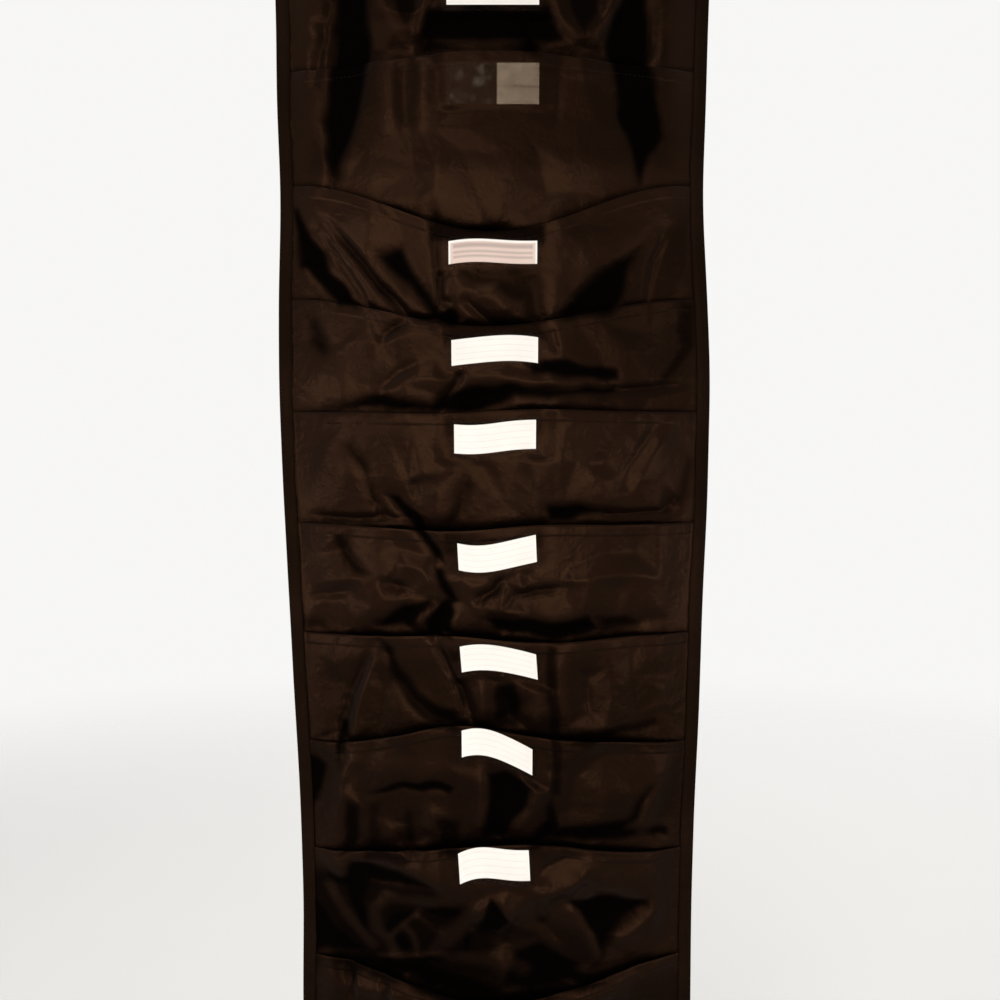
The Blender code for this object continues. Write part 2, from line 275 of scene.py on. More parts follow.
@dataclass(frozen=True)
class ClearVinyl(Finish):
    """Clear vinyl film, faintly hazy, with painted reflection where its strength is above 0: scratched tan
    on the right half and pale wisps on the left.
    """

    bare: Point = (0.10, 0.10, 0.10)
    tint: Point = (0.10, 0.10, 0.10)
    haze: float = 0.004
    painted_reflection_strength: float = 0.0
    least: float = 0.0035
    rim: float = 0.4
    right_half_from: float = 0.0024
    right_half_full: float = 0.0036
    scratch_scale: Point = (45.0, 45.0, 420.0)

    def shader(self, book: NodeBook, place: Sock) -> Sock:
        """Thin gloss over what lies behind, with painted reflection: scratched tan on the right and pale
        wisps on the left.

        Args:
            book: The material's nodes.
            place: Object coordinates.

        Returns:
            The shader.
        """
        smear = book.noise(place, 60.0, 3.0)
        facing = book.add("ShaderNodeLayerWeight", {}, {"Blend": 0.5}, "Facing")
        # Painted reflection: the film turns more opaque, tan on the right half and in pale wisps on the left
        right_half = book.axes(place)[0].ease(self.right_half_from, self.right_half_full)
        scratches = book.streaks(place, self.scratch_scale, 1.0).ease(0.56, 0.66, 1.0, 0.66)
        right_painted_reflection = book.noise(place, 130.0, 3.0).ease(0.35, 0.65, 0.8, 1.06) * scratches
        left_painted_reflection = book.noise(place, 80.0, 3.0).ease(0.48, 0.72, 0.0, 0.62)
        painted_reflection = (right_half * right_painted_reflection + (1.0 - right_half) * left_painted_reflection) * self.painted_reflection_strength
        film = book.principled(
            Base_Color=book.mix(right_half, self.bare, self.tint),
            Roughness=smear.ease(0.3, 0.7, 0.04, 0.12),
            Normal=book.bump(book.noise(place, 45.0, 2.0), 0.0008, 0.18),
            Specular_IOR_Level=0.3,
        )
        factor = facing ** 5.0 * self.rim + smear.ease(0.35, 0.75, 0.0, self.haze) + painted_reflection + self.least
        return book.blend(factor, book.clear(), film)


@dataclass(frozen=True)
class RuledCard(Finish):
    """White card with faint ruled lines, and a white rim of its own where rim is above 0."""

    paper: Point = (0.89, 0.87, 0.84)
    rim_paper: Point = (0.89, 0.87, 0.84)
    ink: Point = (0.52, 0.47, 0.50)
    lines: tuple[float, ...] = (0.20, 0.42, 0.64, 0.86)
    line_width: float = 0.018
    line_strength: float = 0.35
    rim: float = 0.0

    def shader(self, book: NodeBook, place: Sock) -> Sock:
        """Ruled lines that stop short of the ends, on clouded paper.

        Args:
            book: The material's nodes.
            place: Object coordinates.

        Returns:
            The shader.
        """
        across, up, _ = book.axes(book.add("ShaderNodeUVMap", {"uv_map": "card"}, {}))
        off_middle = abs(across - 0.5)
        rule = sum(abs(up - height).ease(0.0, self.line_width, 1.0, 0.0) for height in self.lines)
        ends = off_middle.ease(0.44, 0.46, 1.0, 0.0)
        fibre = book.noise(place, 900.0, 3.0)
        cloud = book.noise(place, 40.0, 2.0).ease(0.3, 0.7)
        paper = book.mix(cloud, self.paper, [channel * 0.96 for channel in self.paper])
        colour = book.mix(rule * ends * self.line_strength, paper, self.ink)
        if self.rim:
            edge = off_middle.ease(0.47, 0.49) + up.ease(1.0 - 1.5 * self.rim, 1.0 - self.rim)
            colour = book.mix(edge, colour, self.rim_paper)
        return book.principled(
            Base_Color=colour,
            Roughness=fibre.ease(0.2, 0.8, 0.55, 0.72),
            Normal=book.bump(fibre, 0.00006, 0.3),
            Specular_IOR_Level=0.35,
        )


@dataclass(frozen=True)
class GreyBoard(Finish):
    """Grey fibre board."""

    dark: Point = (0.15, 0.145, 0.14)
    light: Point = (0.24, 0.235, 0.225)
    fibre_scale: Point = (120.0, 900.0, 900.0)

    def shader(self, book: NodeBook, place: Sock) -> Sock:
        """Long fibres and flecks.

        Args:
            book: The material's nodes.
            place: Object coordinates.

        Returns:
            The shader.
        """
        fibre = book.streaks(place, self.fibre_scale, 4.0)
        fleck = book.noise(place, 260.0, 2.0)
        return book.principled(
            Base_Color=book.mix(fibre * 0.6 + fleck * 0.4, self.dark, self.light),
            Roughness=fleck.ease(0.2, 0.8, 0.7, 0.9),
            Normal=book.bump(fibre, 0.0001, 0.4),
        )


@dataclass(frozen=True)
class NickelPlate(Finish):
    """Bright nickel plate with fine wear."""

    bright: Point = (0.66, 0.63, 0.58)
    dull: Point = (0.44, 0.42, 0.39)

    def shader(self, book: NodeBook, place: Sock) -> Sock:
        """Dull spots and fine scratches on bright metal.

        Args:
            book: The material's nodes.
            place: Object coordinates.

        Returns:
            The shader.
        """
        wear = book.noise(place, 700.0, 4.0)
        spots = book.noise(place, 180.0, 3.0).ease(0.45, 0.75)
        return book.principled(
            Base_Color=book.mix(spots, self.bright, self.dull),
            Metallic=1.0,
            Roughness=wear.ease(0.25, 0.8, 0.16, 0.38),
            Normal=book.bump(wear, 0.00003, 0.2),
        )


@dataclass(frozen=True)
class SewingThread(Finish):
    """Black twisted thread."""

    dark: Point = (0.003, 0.0018, 0.0012)
    light: Point = (0.012, 0.0070, 0.0045)
    turns: float = 9000.0

    def shader(self, book: NodeBook, place: Sock) -> Sock:
        """Slanting twist in two tones.

        Args:
            book: The material's nodes.
            place: Object coordinates.

        Returns:
            The shader.
        """
        x, _, z = book.axes(place)
        twist = ((x + z) * self.turns).sine() * 0.5 + 0.5
        return book.principled(
            Base_Color=book.mix(twist, self.dark, self.light),
            Roughness=book.noise(place, 500.0).ease(0.2, 0.8, 0.5, 0.7),
            Normal=book.bump(twist, 0.00005, 0.5),
            Specular_IOR_Level=0.08,
        )


@dataclass(frozen=True)
class PaleFloor(Finish):
    """Pale studio floor that fades out into the background."""

    colour: Point = (0.86, 0.855, 0.845)
    lift: float = 0.45
    fade_start: float = 1.2
    fade_end: float = 2.6

    def shader(self, book: NodeBook, place: Sock) -> Sock:
        """Matt floor, lifted for the camera alone, clear from fade_end on.

        Args:
            book: The material's nodes.
            place: Object coordinates.

        Returns:
            The shader.
        """
        x, y, _ = book.axes(place)
        reach = (x * x + y * y) ** 0.5
        matt = book.principled(
            Base_Color=self.colour,
            Roughness=book.noise(place, 8.0).ease(0.2, 0.8, 0.75, 0.85),
            Specular_IOR_Level=0.2,
        )
        seen = book.add("ShaderNodeLightPath", {}, {}, "Is Camera Ray")
        glow = book.add("ShaderNodeEmission", {}, {"Color": self.colour, "Strength": seen * self.lift})
        floor = book.add("ShaderNodeAddShader", {}, {0: matt, 1: glow})
        return book.blend(reach.ease(self.fade_start, self.fade_end), floor, book.clear())


class Look(Enum):
    """The finishes that the pieces share."""

    CLOTH = SatinCloth("black_satin_cloth")
    TAPE = SatinCloth(
        "black_tape", dark=(0.0030, 0.0016, 0.0010), light=(0.0065, 0.0036, 0.0023), gloss=0.05,
        smoothest=0.45, roughest=0.60, thread_pitch=0.0009, weave_height=0.00007,
    )
    VINYL = ClearVinyl("clear_vinyl_film")
    # Film of the empty sleeve, with painted reflection
    CLOUDED_VINYL = ClearVinyl(
        "vinyl_film_with_painted_reflection", bare=(0.42, 0.36, 0.28), tint=(0.90, 0.70, 0.50), painted_reflection_strength=0.096,
    )
    CARD = RuledCard("ruled_white_card")
    GREY_CARD = RuledCard(
        "ruled_grey_card", paper=(0.72, 0.58, 0.52), ink=(0.36, 0.28, 0.26), lines=(0.27, 0.47, 0.70, 0.79),
        line_width=0.10, line_strength=0.6, rim=0.08,
    )
    BOARD = GreyBoard("grey_fibre_board")
    NICKEL = NickelPlate("bright_nickel")
    THREAD = SewingThread("black_thread")


Finishes = dict[Look, bpy.types.Material]


class Crest(Enum):
    """How a fold is bent along its line: its flanks' place, as a share of its reach, and their height."""

    SOFT = (0.75, 0.6)
    CREASE = (1.0, 0.0)


@dataclass(frozen=True)
class Fold:
    """One fold of the cloth: its rise, its half width and its line of (x, z), in millimetres."""

    crest: Crest
    rise: float
    reach: float
    line: tuple[Spot, ...]

    def points(self, spacing: float) -> list[Point]:
        """Spread points along the fold, lower towards its ends.

        Args:
            spacing: Distance between points, in millimetres.

        Returns:
            Points as (x, z, height), in millimetres. A soft fold has a row on each flank as well, and a
            sunk crease has its two edges.
        """
        nodes = np.array(self.line, float)
        runs = np.concatenate(([0.0], np.cumsum(np.hypot(*np.diff(nodes, axis=0).T))))
        along = np.linspace(0.0, runs[-1], max(3, round(runs[-1] / spacing) + 1))
        x, z = np.interp(along, runs, nodes[:, 0]), np.interp(along, runs, nodes[:, 1])
        share = along / runs[-1]
        height = self.rise * (0.35 + 0.65 * smooth(np.minimum(share, 1.0 - share) / 0.25))
        rows = [(x, z, height)]
        if self.crest is Crest.SOFT or self.rise < 0:
            flank, level = self.crest.value
            dx, dz = np.gradient(x), np.gradient(z)
            length = np.hypot(dx, dz)
            for side in (-flank * self.reach, flank * self.reach):
                rows.append((x - side * dz / length, z + side * dx / length, level * height))
        return [tuple(point) for row in rows for point in np.stack(row, axis=1)]


def line_distance(x: Array, z: Array, line: tuple[Spot, ...]) -> Array:
    """Measure how far points lie from a line.

    Args:
        x: Distances across, in millimetres.
        z: Heights, in millimetres.
        line: Corners of the line, in millimetres.

    Returns:
        Distances in millimetres.
    """
    away = np.full(x.shape, np.inf)
    for (ax, az), (bx, bz) in zip(line, line[1:]):
        share = ((x - ax) * (bx - ax) + (z - az) * (bz - az)) / ((bx - ax) ** 2 + (bz - az) ** 2)
        share = np.clip(share, 0.0, 1.0)
        away = np.minimum(away, np.hypot(x - ax - share * (bx - ax), z - az - share * (bz - az)))
    return away


@dataclass(frozen=True)
class Hollow:
    """One hollow between folds, sunk into the cloth and painted with shade: depth, width of its painted
    shade's soft edge and outline of (x, z), in millimetres.
    """

    depth: float
    edge: float
    outline: tuple[Spot, ...]

    def inside(self, x: Array, z: Array) -> Array:
        """Measure how far inside the outline points lie.

        Args:
            x: Distances across, in millimetres.
            z: Heights, in millimetres.

        Returns:
            Distances from the outline in millimetres, below 0 outside it.
        """
        closed = self.outline + self.outline[:1]
        within = np.zeros(x.shape, bool)
        for (ax, az), (bx, bz) in zip(closed, closed[1:]):
            if az != bz:
                within ^= ((az > z) != (bz > z)) & (x < ax + (z - az) * (bx - ax) / (bz - az))
        away = line_distance(x, z, closed)
        return np.where(within, away, -away)


def crease(rise: float, reach: float, *line: Spot) -> Fold:
    """A fold with a sharp crest."""
    return Fold(Crest.CREASE, rise, reach, line)


def swell(rise: float, reach: float, *line: Spot) -> Fold:
    """A fold with a soft crest."""
    return Fold(Crest.SOFT, rise, reach, line)


def hollow_and_painted_shade(depth: float, edge: float, *outline: Spot) -> Hollow:
    """A hollow, sunk and painted with shade, its outline given corner by corner."""
    return Hollow(depth, edge, outline)


FOLDS = (
    # First and second pockets: flat side strips, and swags under the first label
    crease(2, 9, (-138, -40), (-141, -110), (-139, -190)),
    crease(2, 9, (138, -40), (137, -110), (141, -185)),
    crease(-2, 3, (-121, -95), (-128, -130), (-134, -158)),
    crease(6, 4, (-97, -70), (-84, -97), (-72, -118), (-63, -131)),
    crease(6, 4, (-44, -80), (-51, -100), (-57, -117), (-63, -131)),
    crease(6, 4, (38, -85), (46, -105), (56, -122), (66, -134)),
    crease(6, 4, (98, -75), (90, -98), (78, -118), (66, -134)),
    swell(1, 8, (-80, -140), (-79, -190)),
    swell(-2, 6, (-65, -140), (-64, -190)),
    swell(1, 6, (-51, -140), (-51, -190)),
    swell(-2, 7, (50, -140), (46, -190)),
    # Third pocket: planes drawn from the corners down to a knot beside the next label
    crease(-3, 3, (-133, -264), (-118, -283), (-105, -302), (-90, -326)),
    crease(-5, 4, (-124, -258), (-105, -280), (-85, -305), (-62, -329)),
    crease(-5, 3, (-42, -266), (-41, -295), (-39, -328)),
    crease(-4, 3, (-64, -328), (-48, -331), (-34, -331)),
    crease(2, 7, (-154, -290), (-146, -318)),
    crease(3, 7, (-14, -311), (2, -317), (14, -327)),
    crease(-3, 3, (-21, -316), (-9, -327), (3, -335)),
    crease(2, 5, (-31, -294), (-25, -308), (-28, -318)),
    crease(1, 14, (130, -252), (90, -275), (52, -288)),
    crease(-3, 3, (132, -262), (120, -290), (115, -316)),
    crease(3, 4, (149, -260), (148, -292), (139, -312)),
    crease(2, 4, (154, -300), (145, -312)),
    # Fourth pocket
    crease(-4, 3, (-65, -331), (-74, -337), (-84, -345)),
    crease(2, 10, (-118, -350), (-75, -344), (-44, -340)),
    crease(3, 10, (-78, -381), (-60, -374), (-32, -376)),
    crease(-3, 3, (-86, -384), (-72, -370), (-58, -362)),
    crease(-4, 4, (-23, -364), (-26, -378), (-36, -390)),
    crease(-4, 3, (-37, -334), (-35, -356)),
    crease(-3, 3, (41, -334), (48, -356)),
    crease(3, 6, (-14, -372), (20, -376), (62, -378)),
    crease(2, 9, (-142, -372), (-104, -376)),
    crease(-4, 3, (90, -384), (120, -382), (146, -379)),
    # Fifth pocket
    crease(2, 14, (-130, -412), (-50, -416)),
    crease(3, 9, (-142, -432), (-118, -440), (-98, -452)),
    crease(3, 9, (-70, -452), (-44, -446), (-26, -442)),
    crease(2, 7, (-45, -452), (-42, -470), (-46, -484)),
    crease(-3, 3, (-60, -448), (-58, -466)),
    crease(3, 7, (18, -436), (42, -437), (62, -436)),
    crease(3, 6, (136, -412), (120, -434), (104, -462)),
    crease(-2, 4, (124, -410), (104, -440), (98, -452)),
    crease(2, 5, (72, -440), (84, -456), (92, -472)),
    crease(-4, 3, (86, -478), (112, -477), (148, -476)),
    crease(-4, 3, (-152, -479), (-110, -481), (-66, -481)),
    # Sixth pocket: one long level ridge
    crease(2, 8, (-142, -488), (-132, -508)),
    crease(3, 5, (-154, -536), (-126, -530), (-95, -526), (-60, -524)),
    crease(-3, 4, (-148, -542), (-110, -537)),
    crease(-4, 3, (-78, -529), (-64, -534)),
    crease(3, 5, (-74, -514), (-56, -518), (-42, -534)),
    crease(-5, 3, (8, -522), (2, -534), (-11, -542)),
    crease(2, 5, (-24, -526), (-14, -535), (-2, -528)),
    crease(4, 5, (-14, -545), (14, -536), (50, -529), (110, -523), (152, -530)),
    crease(-5, 3, (14, -540), (34, -535), (54, -533)),
    crease(4, 3, (-44, -543), (-52, -553), (-60, -566)),
    crease(3, 6, (-104, -556), (-84, -543), (-58, -538)),
    crease(3, 6, (-16, -548), (6, -551), (36, -556)),
    crease(2, 5, (96, -532), (120, -546), (136, -558)),
    # Seventh pocket: upright pleats under the label
    crease(-5, 4, (-44, -568), (-33, -592), (-22, -612), (-17, -636)),
    crease(-4, 3, (-94, -582), (-108, -612), (-119, -648)),
    crease(3, 4, (-92, -592), (-103, -625), (-108, -655), (-110, -684)),
    crease(3, 4, (-110, -612), (-121, -640), (-124, -660)),
    crease(3, 6, (-9, -602), (-10, -642)),
    crease(3, 6, (33, -582), (33, -612), (30, -645)),
    crease(2, 5, (54, -580), (56, -640)),
    crease(-2, 3, (71, -596), (73, -630)),
    crease(3, 9, (134, -605), (131, -630)),
    # Eighth pocket: two bright pleats beside a hollow painted black
    crease(4, 9, (-106, -655), (-116, -690), (-124, -716), (-130, -745)),
    crease(2, 8, (-94, -668), (-40, -668)),
    crease(2, 5, (-80, -714), (-79, -732)),
    crease(2, 6, (-50, -700), (-48, -726)),
    crease(4, 4, (-8, -664), (-10, -695), (-13, -731)),
    crease(4, 5, (36, -664), (33, -692), (24, -714), (16, -733)),
    crease(3, 8, (138, -662), (128, -690), (114, -722)),
    # Ninth pocket: creases that spread from the middle of the label
    crease(3, 6, (-146, -736), (-130, -746), (-118, -756)),
    crease(3, 6, (-62, -744), (-48, -752), (-36, -768)),
    crease(4, 6, (-24, -771), (-44, -777), (-64, -775), (-80, -773), (-90, -784), (-88, -802), (-78, -818)),
    crease(4, 3, (-82, -809), (-68, -795), (-58, -784)),
    crease(4, 3, (-68, -795), (-62, -804), (-59, -820)),
    crease(3, 6, (-126, -768), (-118, -784), (-104, -800), (-94, -816)),
    crease(6, 3, (-3, -768), (-9, -781), (-18, -798)),
    crease(4, 8, (-10, -774), (-28, -798), (-44, -818)),
    crease(4, 3, (-42, -820), (-62, -823), (-88, -826)),
    crease(6, 3, (3, -768), (10, -780), (17, -794)),
    crease(5, 7, (28, -773), (46, -768), (62, -762), (71, -750), (77, -738)),
    crease(-3, 4, (34, -750), (60, -738)),
    crease(3, 7, (70, -764), (104, -766), (138, -768)),
    crease(4, 3, (54, -772), (68, -789), (79, -812), (88, -832)),
    crease(4, 12, (140, -778), (116, -796), (96, -818)),
    crease(3, 3, (66, -834), (90, -833)),
    crease(2, 8, (-34, -824), (-2, -824), (24, -834)),
    # Tenth pocket
    crease(2, 9, (-132, -826), (-128, -880)),
    crease(-4, 3, (-112, -828), (-110, -862)),
    crease(-4, 3, (-84, -838), (-84, -866)),
    crease(2, 8, (-98, -840), (-60, -870), (-20, -900)),
    crease(-3, 6, (-120, -860), (-76, -895), (-30, -930)),
    crease(3, 8, (118, -832), (72, -856), (36, -890)),
    crease(2, 10, (-20, -945), (40, -945)),
)

# Hollows: each is sunk into the cloth and painted with shade by its depth
HOLLOWS = (
    # First and second pockets: one down each side, one under the first label
    hollow_and_painted_shade(
        10, 5, (-120, -40), (-119, -100), (-121, -140), (-127, -185), (-122, -232), (-104, -194),
        (-97, -178), (-91, -136), (-92, -40),
    ),
    hollow_and_painted_shade(
        8, 5, (90, -40), (86, -100), (85, -136), (92, -180), (112, -230), (130, -184), (123, -160),
        (117, -138), (117, -40),
    ),
    hollow_and_painted_shade(9, 5, (-50, -101), (44, -101), (56, -116), (62, -126), (-56, -126)),
    hollow_and_painted_shade(6, 4, (-84, -62), (-56, -62), (-56, -104), (-64, -120), (-72, -104)),
    hollow_and_painted_shade(6, 4, (54, -62), (84, -62), (78, -104), (66, -122), (58, -106)),
    # Third pocket
    hollow_and_painted_shade(
        9, 3, (-151, -246), (-147, -247), (-140, -262), (-127, -284), (-112, -306), (-101, -322),
        (-117, -322), (-128, -306), (-139, -294), (-146, -292),
    ),
    hollow_and_painted_shade(
        7, 4, (-88, -280), (-70, -280), (-62, -290), (-50, -308), (-38, -327), (-47, -327), (-62, -306),
        (-78, -293),
    ),
    hollow_and_painted_shade(8, 2, (-42, -327), (-34, -321), (-27, -327), (-28, -337), (-41, -338)),
    hollow_and_painted_shade(4, 5, (-25, -294), (38, -294), (41, -335), (28, -335), (22, -318), (6, -310), (-14, -305)),
    hollow_and_painted_shade(
        7, 8, (114, -268), (105, -292), (98, -318), (88, -328), (52, -331), (52, -322), (66, -305),
        (88, -288),
    ),
    # Fourth pocket
    hollow_and_painted_shade(5, 5, (-141, -328), (-134, -330), (-123, -350), (-128, -357), (-137, -346)),
    hollow_and_painted_shade(
        7, 3, (22, -364), (46, -361), (72, -364), (94, -369), (96, -377), (70, -373), (48, -374),
        (30, -371),
    ),
    hollow_and_painted_shade(5, 6, (138, -316), (153, -318), (153, -352), (132, -377), (121, -377), (139, -352)),
    hollow_and_painted_shade(
        9, 3, (-130, -397), (-96, -390), (-84, -388), (-60, -393), (-45, -396), (-36, -388), (-24, -382),
        (10, -380), (94, -380), (94, -386), (14, -389), (2, -396), (-14, -400), (-60, -398),
    ),
    # Fifth pocket
    hollow_and_painted_shade(4, 5, (-112, -426), (-103, -423), (-94, -440), (-85, -471), (-92, -471), (-101, -447)),
    hollow_and_painted_shade(
        10, 2, (-80, -462), (-70, -465), (-58, -477), (-51, -488), (-39, -506), (-35, -515), (-44, -511),
        (-57, -492), (-67, -478),
    ),
    hollow_and_painted_shade(4, 6, (-19, -443), (-16, -455), (-27, -486), (-35, -486), (-24, -460)),
    hollow_and_painted_shade(8, 3, (41, -472), (66, -471), (76, -476), (96, -477), (60, -482), (43, -482)),
    hollow_and_painted_shade(4, 6, (148, -434), (154, -436), (146, -474), (130, -475), (140, -456)),
    # Sixth pocket
    hollow_and_painted_shade(5, 5, (-122, -492), (-114, -493), (-104, -507), (-91, -520), (-104, -522), (-115, -511)),
    hollow_and_painted_shade(8, 2, (-43, -519), (-38, -519), (-26, -542), (-30, -545), (-39, -531)),
    hollow_and_painted_shade(9, 3, (-42, -540), (-50, -540), (-68, -547), (-88, -562), (-58, -565), (-53, -552), (-45, -546)),
    hollow_and_painted_shade(9, 2, (-40, -543), (-32, -540), (-28, -552), (-31, -568), (-46, -568), (-49, -557)),
    hollow_and_painted_shade(
        9, 3, (-3, -559), (22, -557), (44, -561), (72, -555), (78, -566), (50, -575), (30, -571), (2, -567),
    ),
    hollow_and_painted_shade(5, 4, (78, -556), (104, -557), (114, -563), (84, -567)),
    hollow_and_painted_shade(4, 5, (-152, -556), (-130, -560), (-126, -568), (-150, -568)),
    # Seventh pocket: painted shade on the dark side of the leaf, and three upright ones
    hollow_and_painted_shade(
        6, 5, (-85, -573), (-76, -577), (-70, -592), (-56, -612), (-40, -624), (-27, -627), (-24, -639),
        (-52, -637), (-66, -621), (-77, -602),
    ),
    hollow_and_painted_shade(6, 4, (3, -608), (16, -605), (21, -620), (19, -642), (1, -642)),
    hollow_and_painted_shade(5, 3, (40, -576), (47, -578), (51, -620), (51, -692), (44, -692), (42, -640)),
    hollow_and_painted_shade(5, 3, (53, -651), (92, -642), (128, -636), (128, -643), (70, -654)),
    hollow_and_painted_shade(7, 2, (-121, -638), (-112, -638), (-109, -673), (-119, -676)),
    hollow_and_painted_shade(5, 2, (-146, -656), (-122, -645), (-119, -651)),
    # Eighth pocket
    hollow_and_painted_shade(8, 4, (-150, -662), (-134, -667), (-127, -672), (-135, -700), (-146, -716)),
    hollow_and_painted_shade(
        12, 3, (-4, -673), (8, -672), (22, -679), (27, -686), (25, -700), (15, -714), (8, -729), (-9, -729),
        (-6, -700),
    ),
    hollow_and_painted_shade(7, 2, (-99, -693), (-78, -685), (-50, -680), (-31, -684), (-33, -691), (-60, -688), (-80, -691)),
    hollow_and_painted_shade(6, 4, (-113, -698), (-103, -703), (-105, -739), (-117, -744)),
    hollow_and_painted_shade(
        4, 4, (-96, -700), (-88, -700), (-87, -736), (-70, -738), (-66, -702), (-60, -704), (-60, -745),
        (-98, -745),
    ),
    hollow_and_painted_shade(5, 5, (-42, -713), (-24, -712), (-24, -736), (-40, -740)),
    hollow_and_painted_shade(
        7, 5, (46, -692), (38, -714), (26, -731), (136, -730), (136, -722), (102, -722), (119, -704),
        (130, -682), (121, -688), (103, -714), (50, -720),
    ),
    # Ninth pocket: painted black shade between the creases
    hollow_and_painted_shade(
        9, 4, (-130, -756), (-118, -760), (-110, -748), (-98, -747), (-70, -752), (-40, -766), (-70, -763),
        (-92, -764), (-98, -778), (-94, -790), (-96, -806), (-109, -786), (-115, -770), (-128, -768),
    ),
    hollow_and_painted_shade(
        10, 5, (-152, -776), (-134, -782), (-120, -800), (-106, -815), (-90, -824), (-136, -824),
        (-152, -818),
    ),
    hollow_and_painted_shade(9, 3, (-84, -797), (-78, -786), (-63, -782), (-61, -787), (-70, -796), (-82, -803)),
    hollow_and_painted_shade(9, 3, (-57, -784), (-40, -779), (-26, -778), (-25, -785), (-36, -792), (-48, -788)),
    hollow_and_painted_shade(8, 2, (-77, -808), (-69, -800), (-62, -816), (-66, -821), (-78, -819)),
    hollow_and_painted_shade(5, 4, (-58, -792), (-44, -792), (-35, -800), (-46, -816), (-57, -817)),
    hollow_and_painted_shade(8, 2, (0, -769), (5, -778), (13, -793), (3, -803), (-13, -801), (-5, -780)),
    hollow_and_painted_shade(8, 2, (-24, -801), (-18, -800), (-17, -815), (-24, -822)),
    hollow_and_painted_shade(
        10, 3, (56, -773), (90, -774), (121, -780), (122, -787), (106, -797), (94, -808), (87, -822),
        (80, -806), (70, -788),
    ),
    hollow_and_painted_shade(
        7, 7, (16, -818), (36, -808), (52, -820), (70, -832), (88, -840), (60, -849), (30, -854), (4, -850),
    ),
    hollow_and_painted_shade(9, 5, (-96, -829), (-60, -827), (-30, -840), (12, -849), (-10, -856), (-50, -852)),
    # Painted shade on the hems over the labels, from the third pocket to the seventh
    hollow_and_painted_shade(6, 3, (-46, -259), (40, -261), (40, -274), (-46, -273)),
    hollow_and_painted_shade(5, 4, (-40, -331), (38, -333), (40, -346), (-36, -347)),
    hollow_and_painted_shade(3, 4, (-38, -402), (38, -400), (38, -416), (-38, -418)),
    hollow_and_painted_shade(3, 4, (-36, -492), (38, -490), (38, -502), (-36, -508)),
    hollow_and_painted_shade(4, 4, (-34, -577), (38, -579), (38, -589), (-34, -587)),
    # Broad, shallow hollows with painted shade on slack places: the first two pockets, the right of the next
    # two, and from the seventh down
    hollow_and_painted_shade(3, 12, (-135, -30), (135, -30), (135, -140), (-135, -140)),
    hollow_and_painted_shade(2, 12, (-135, -130), (135, -130), (135, -215), (-135, -215)),
    hollow_and_painted_shade(2, 14, (52, -255), (158, -250), (158, -402), (52, -402)),
    hollow_and_painted_shade(1.5, 12, (-160, -585), (160, -590), (160, -740), (-160, -740)),
    hollow_and_painted_shade(5.5, 12, (-156, -752), (-40, -765), (0, -790), (10, -850), (-156, -840)),
    hollow_and_painted_shade(3, 12, (0, -790), (70, -800), (90, -840), (10, -860)),
    hollow_and_painted_shade(2, 12, (-160, -840), (0, -866), (160, -835), (160, -1040), (-160, -1040)),
)


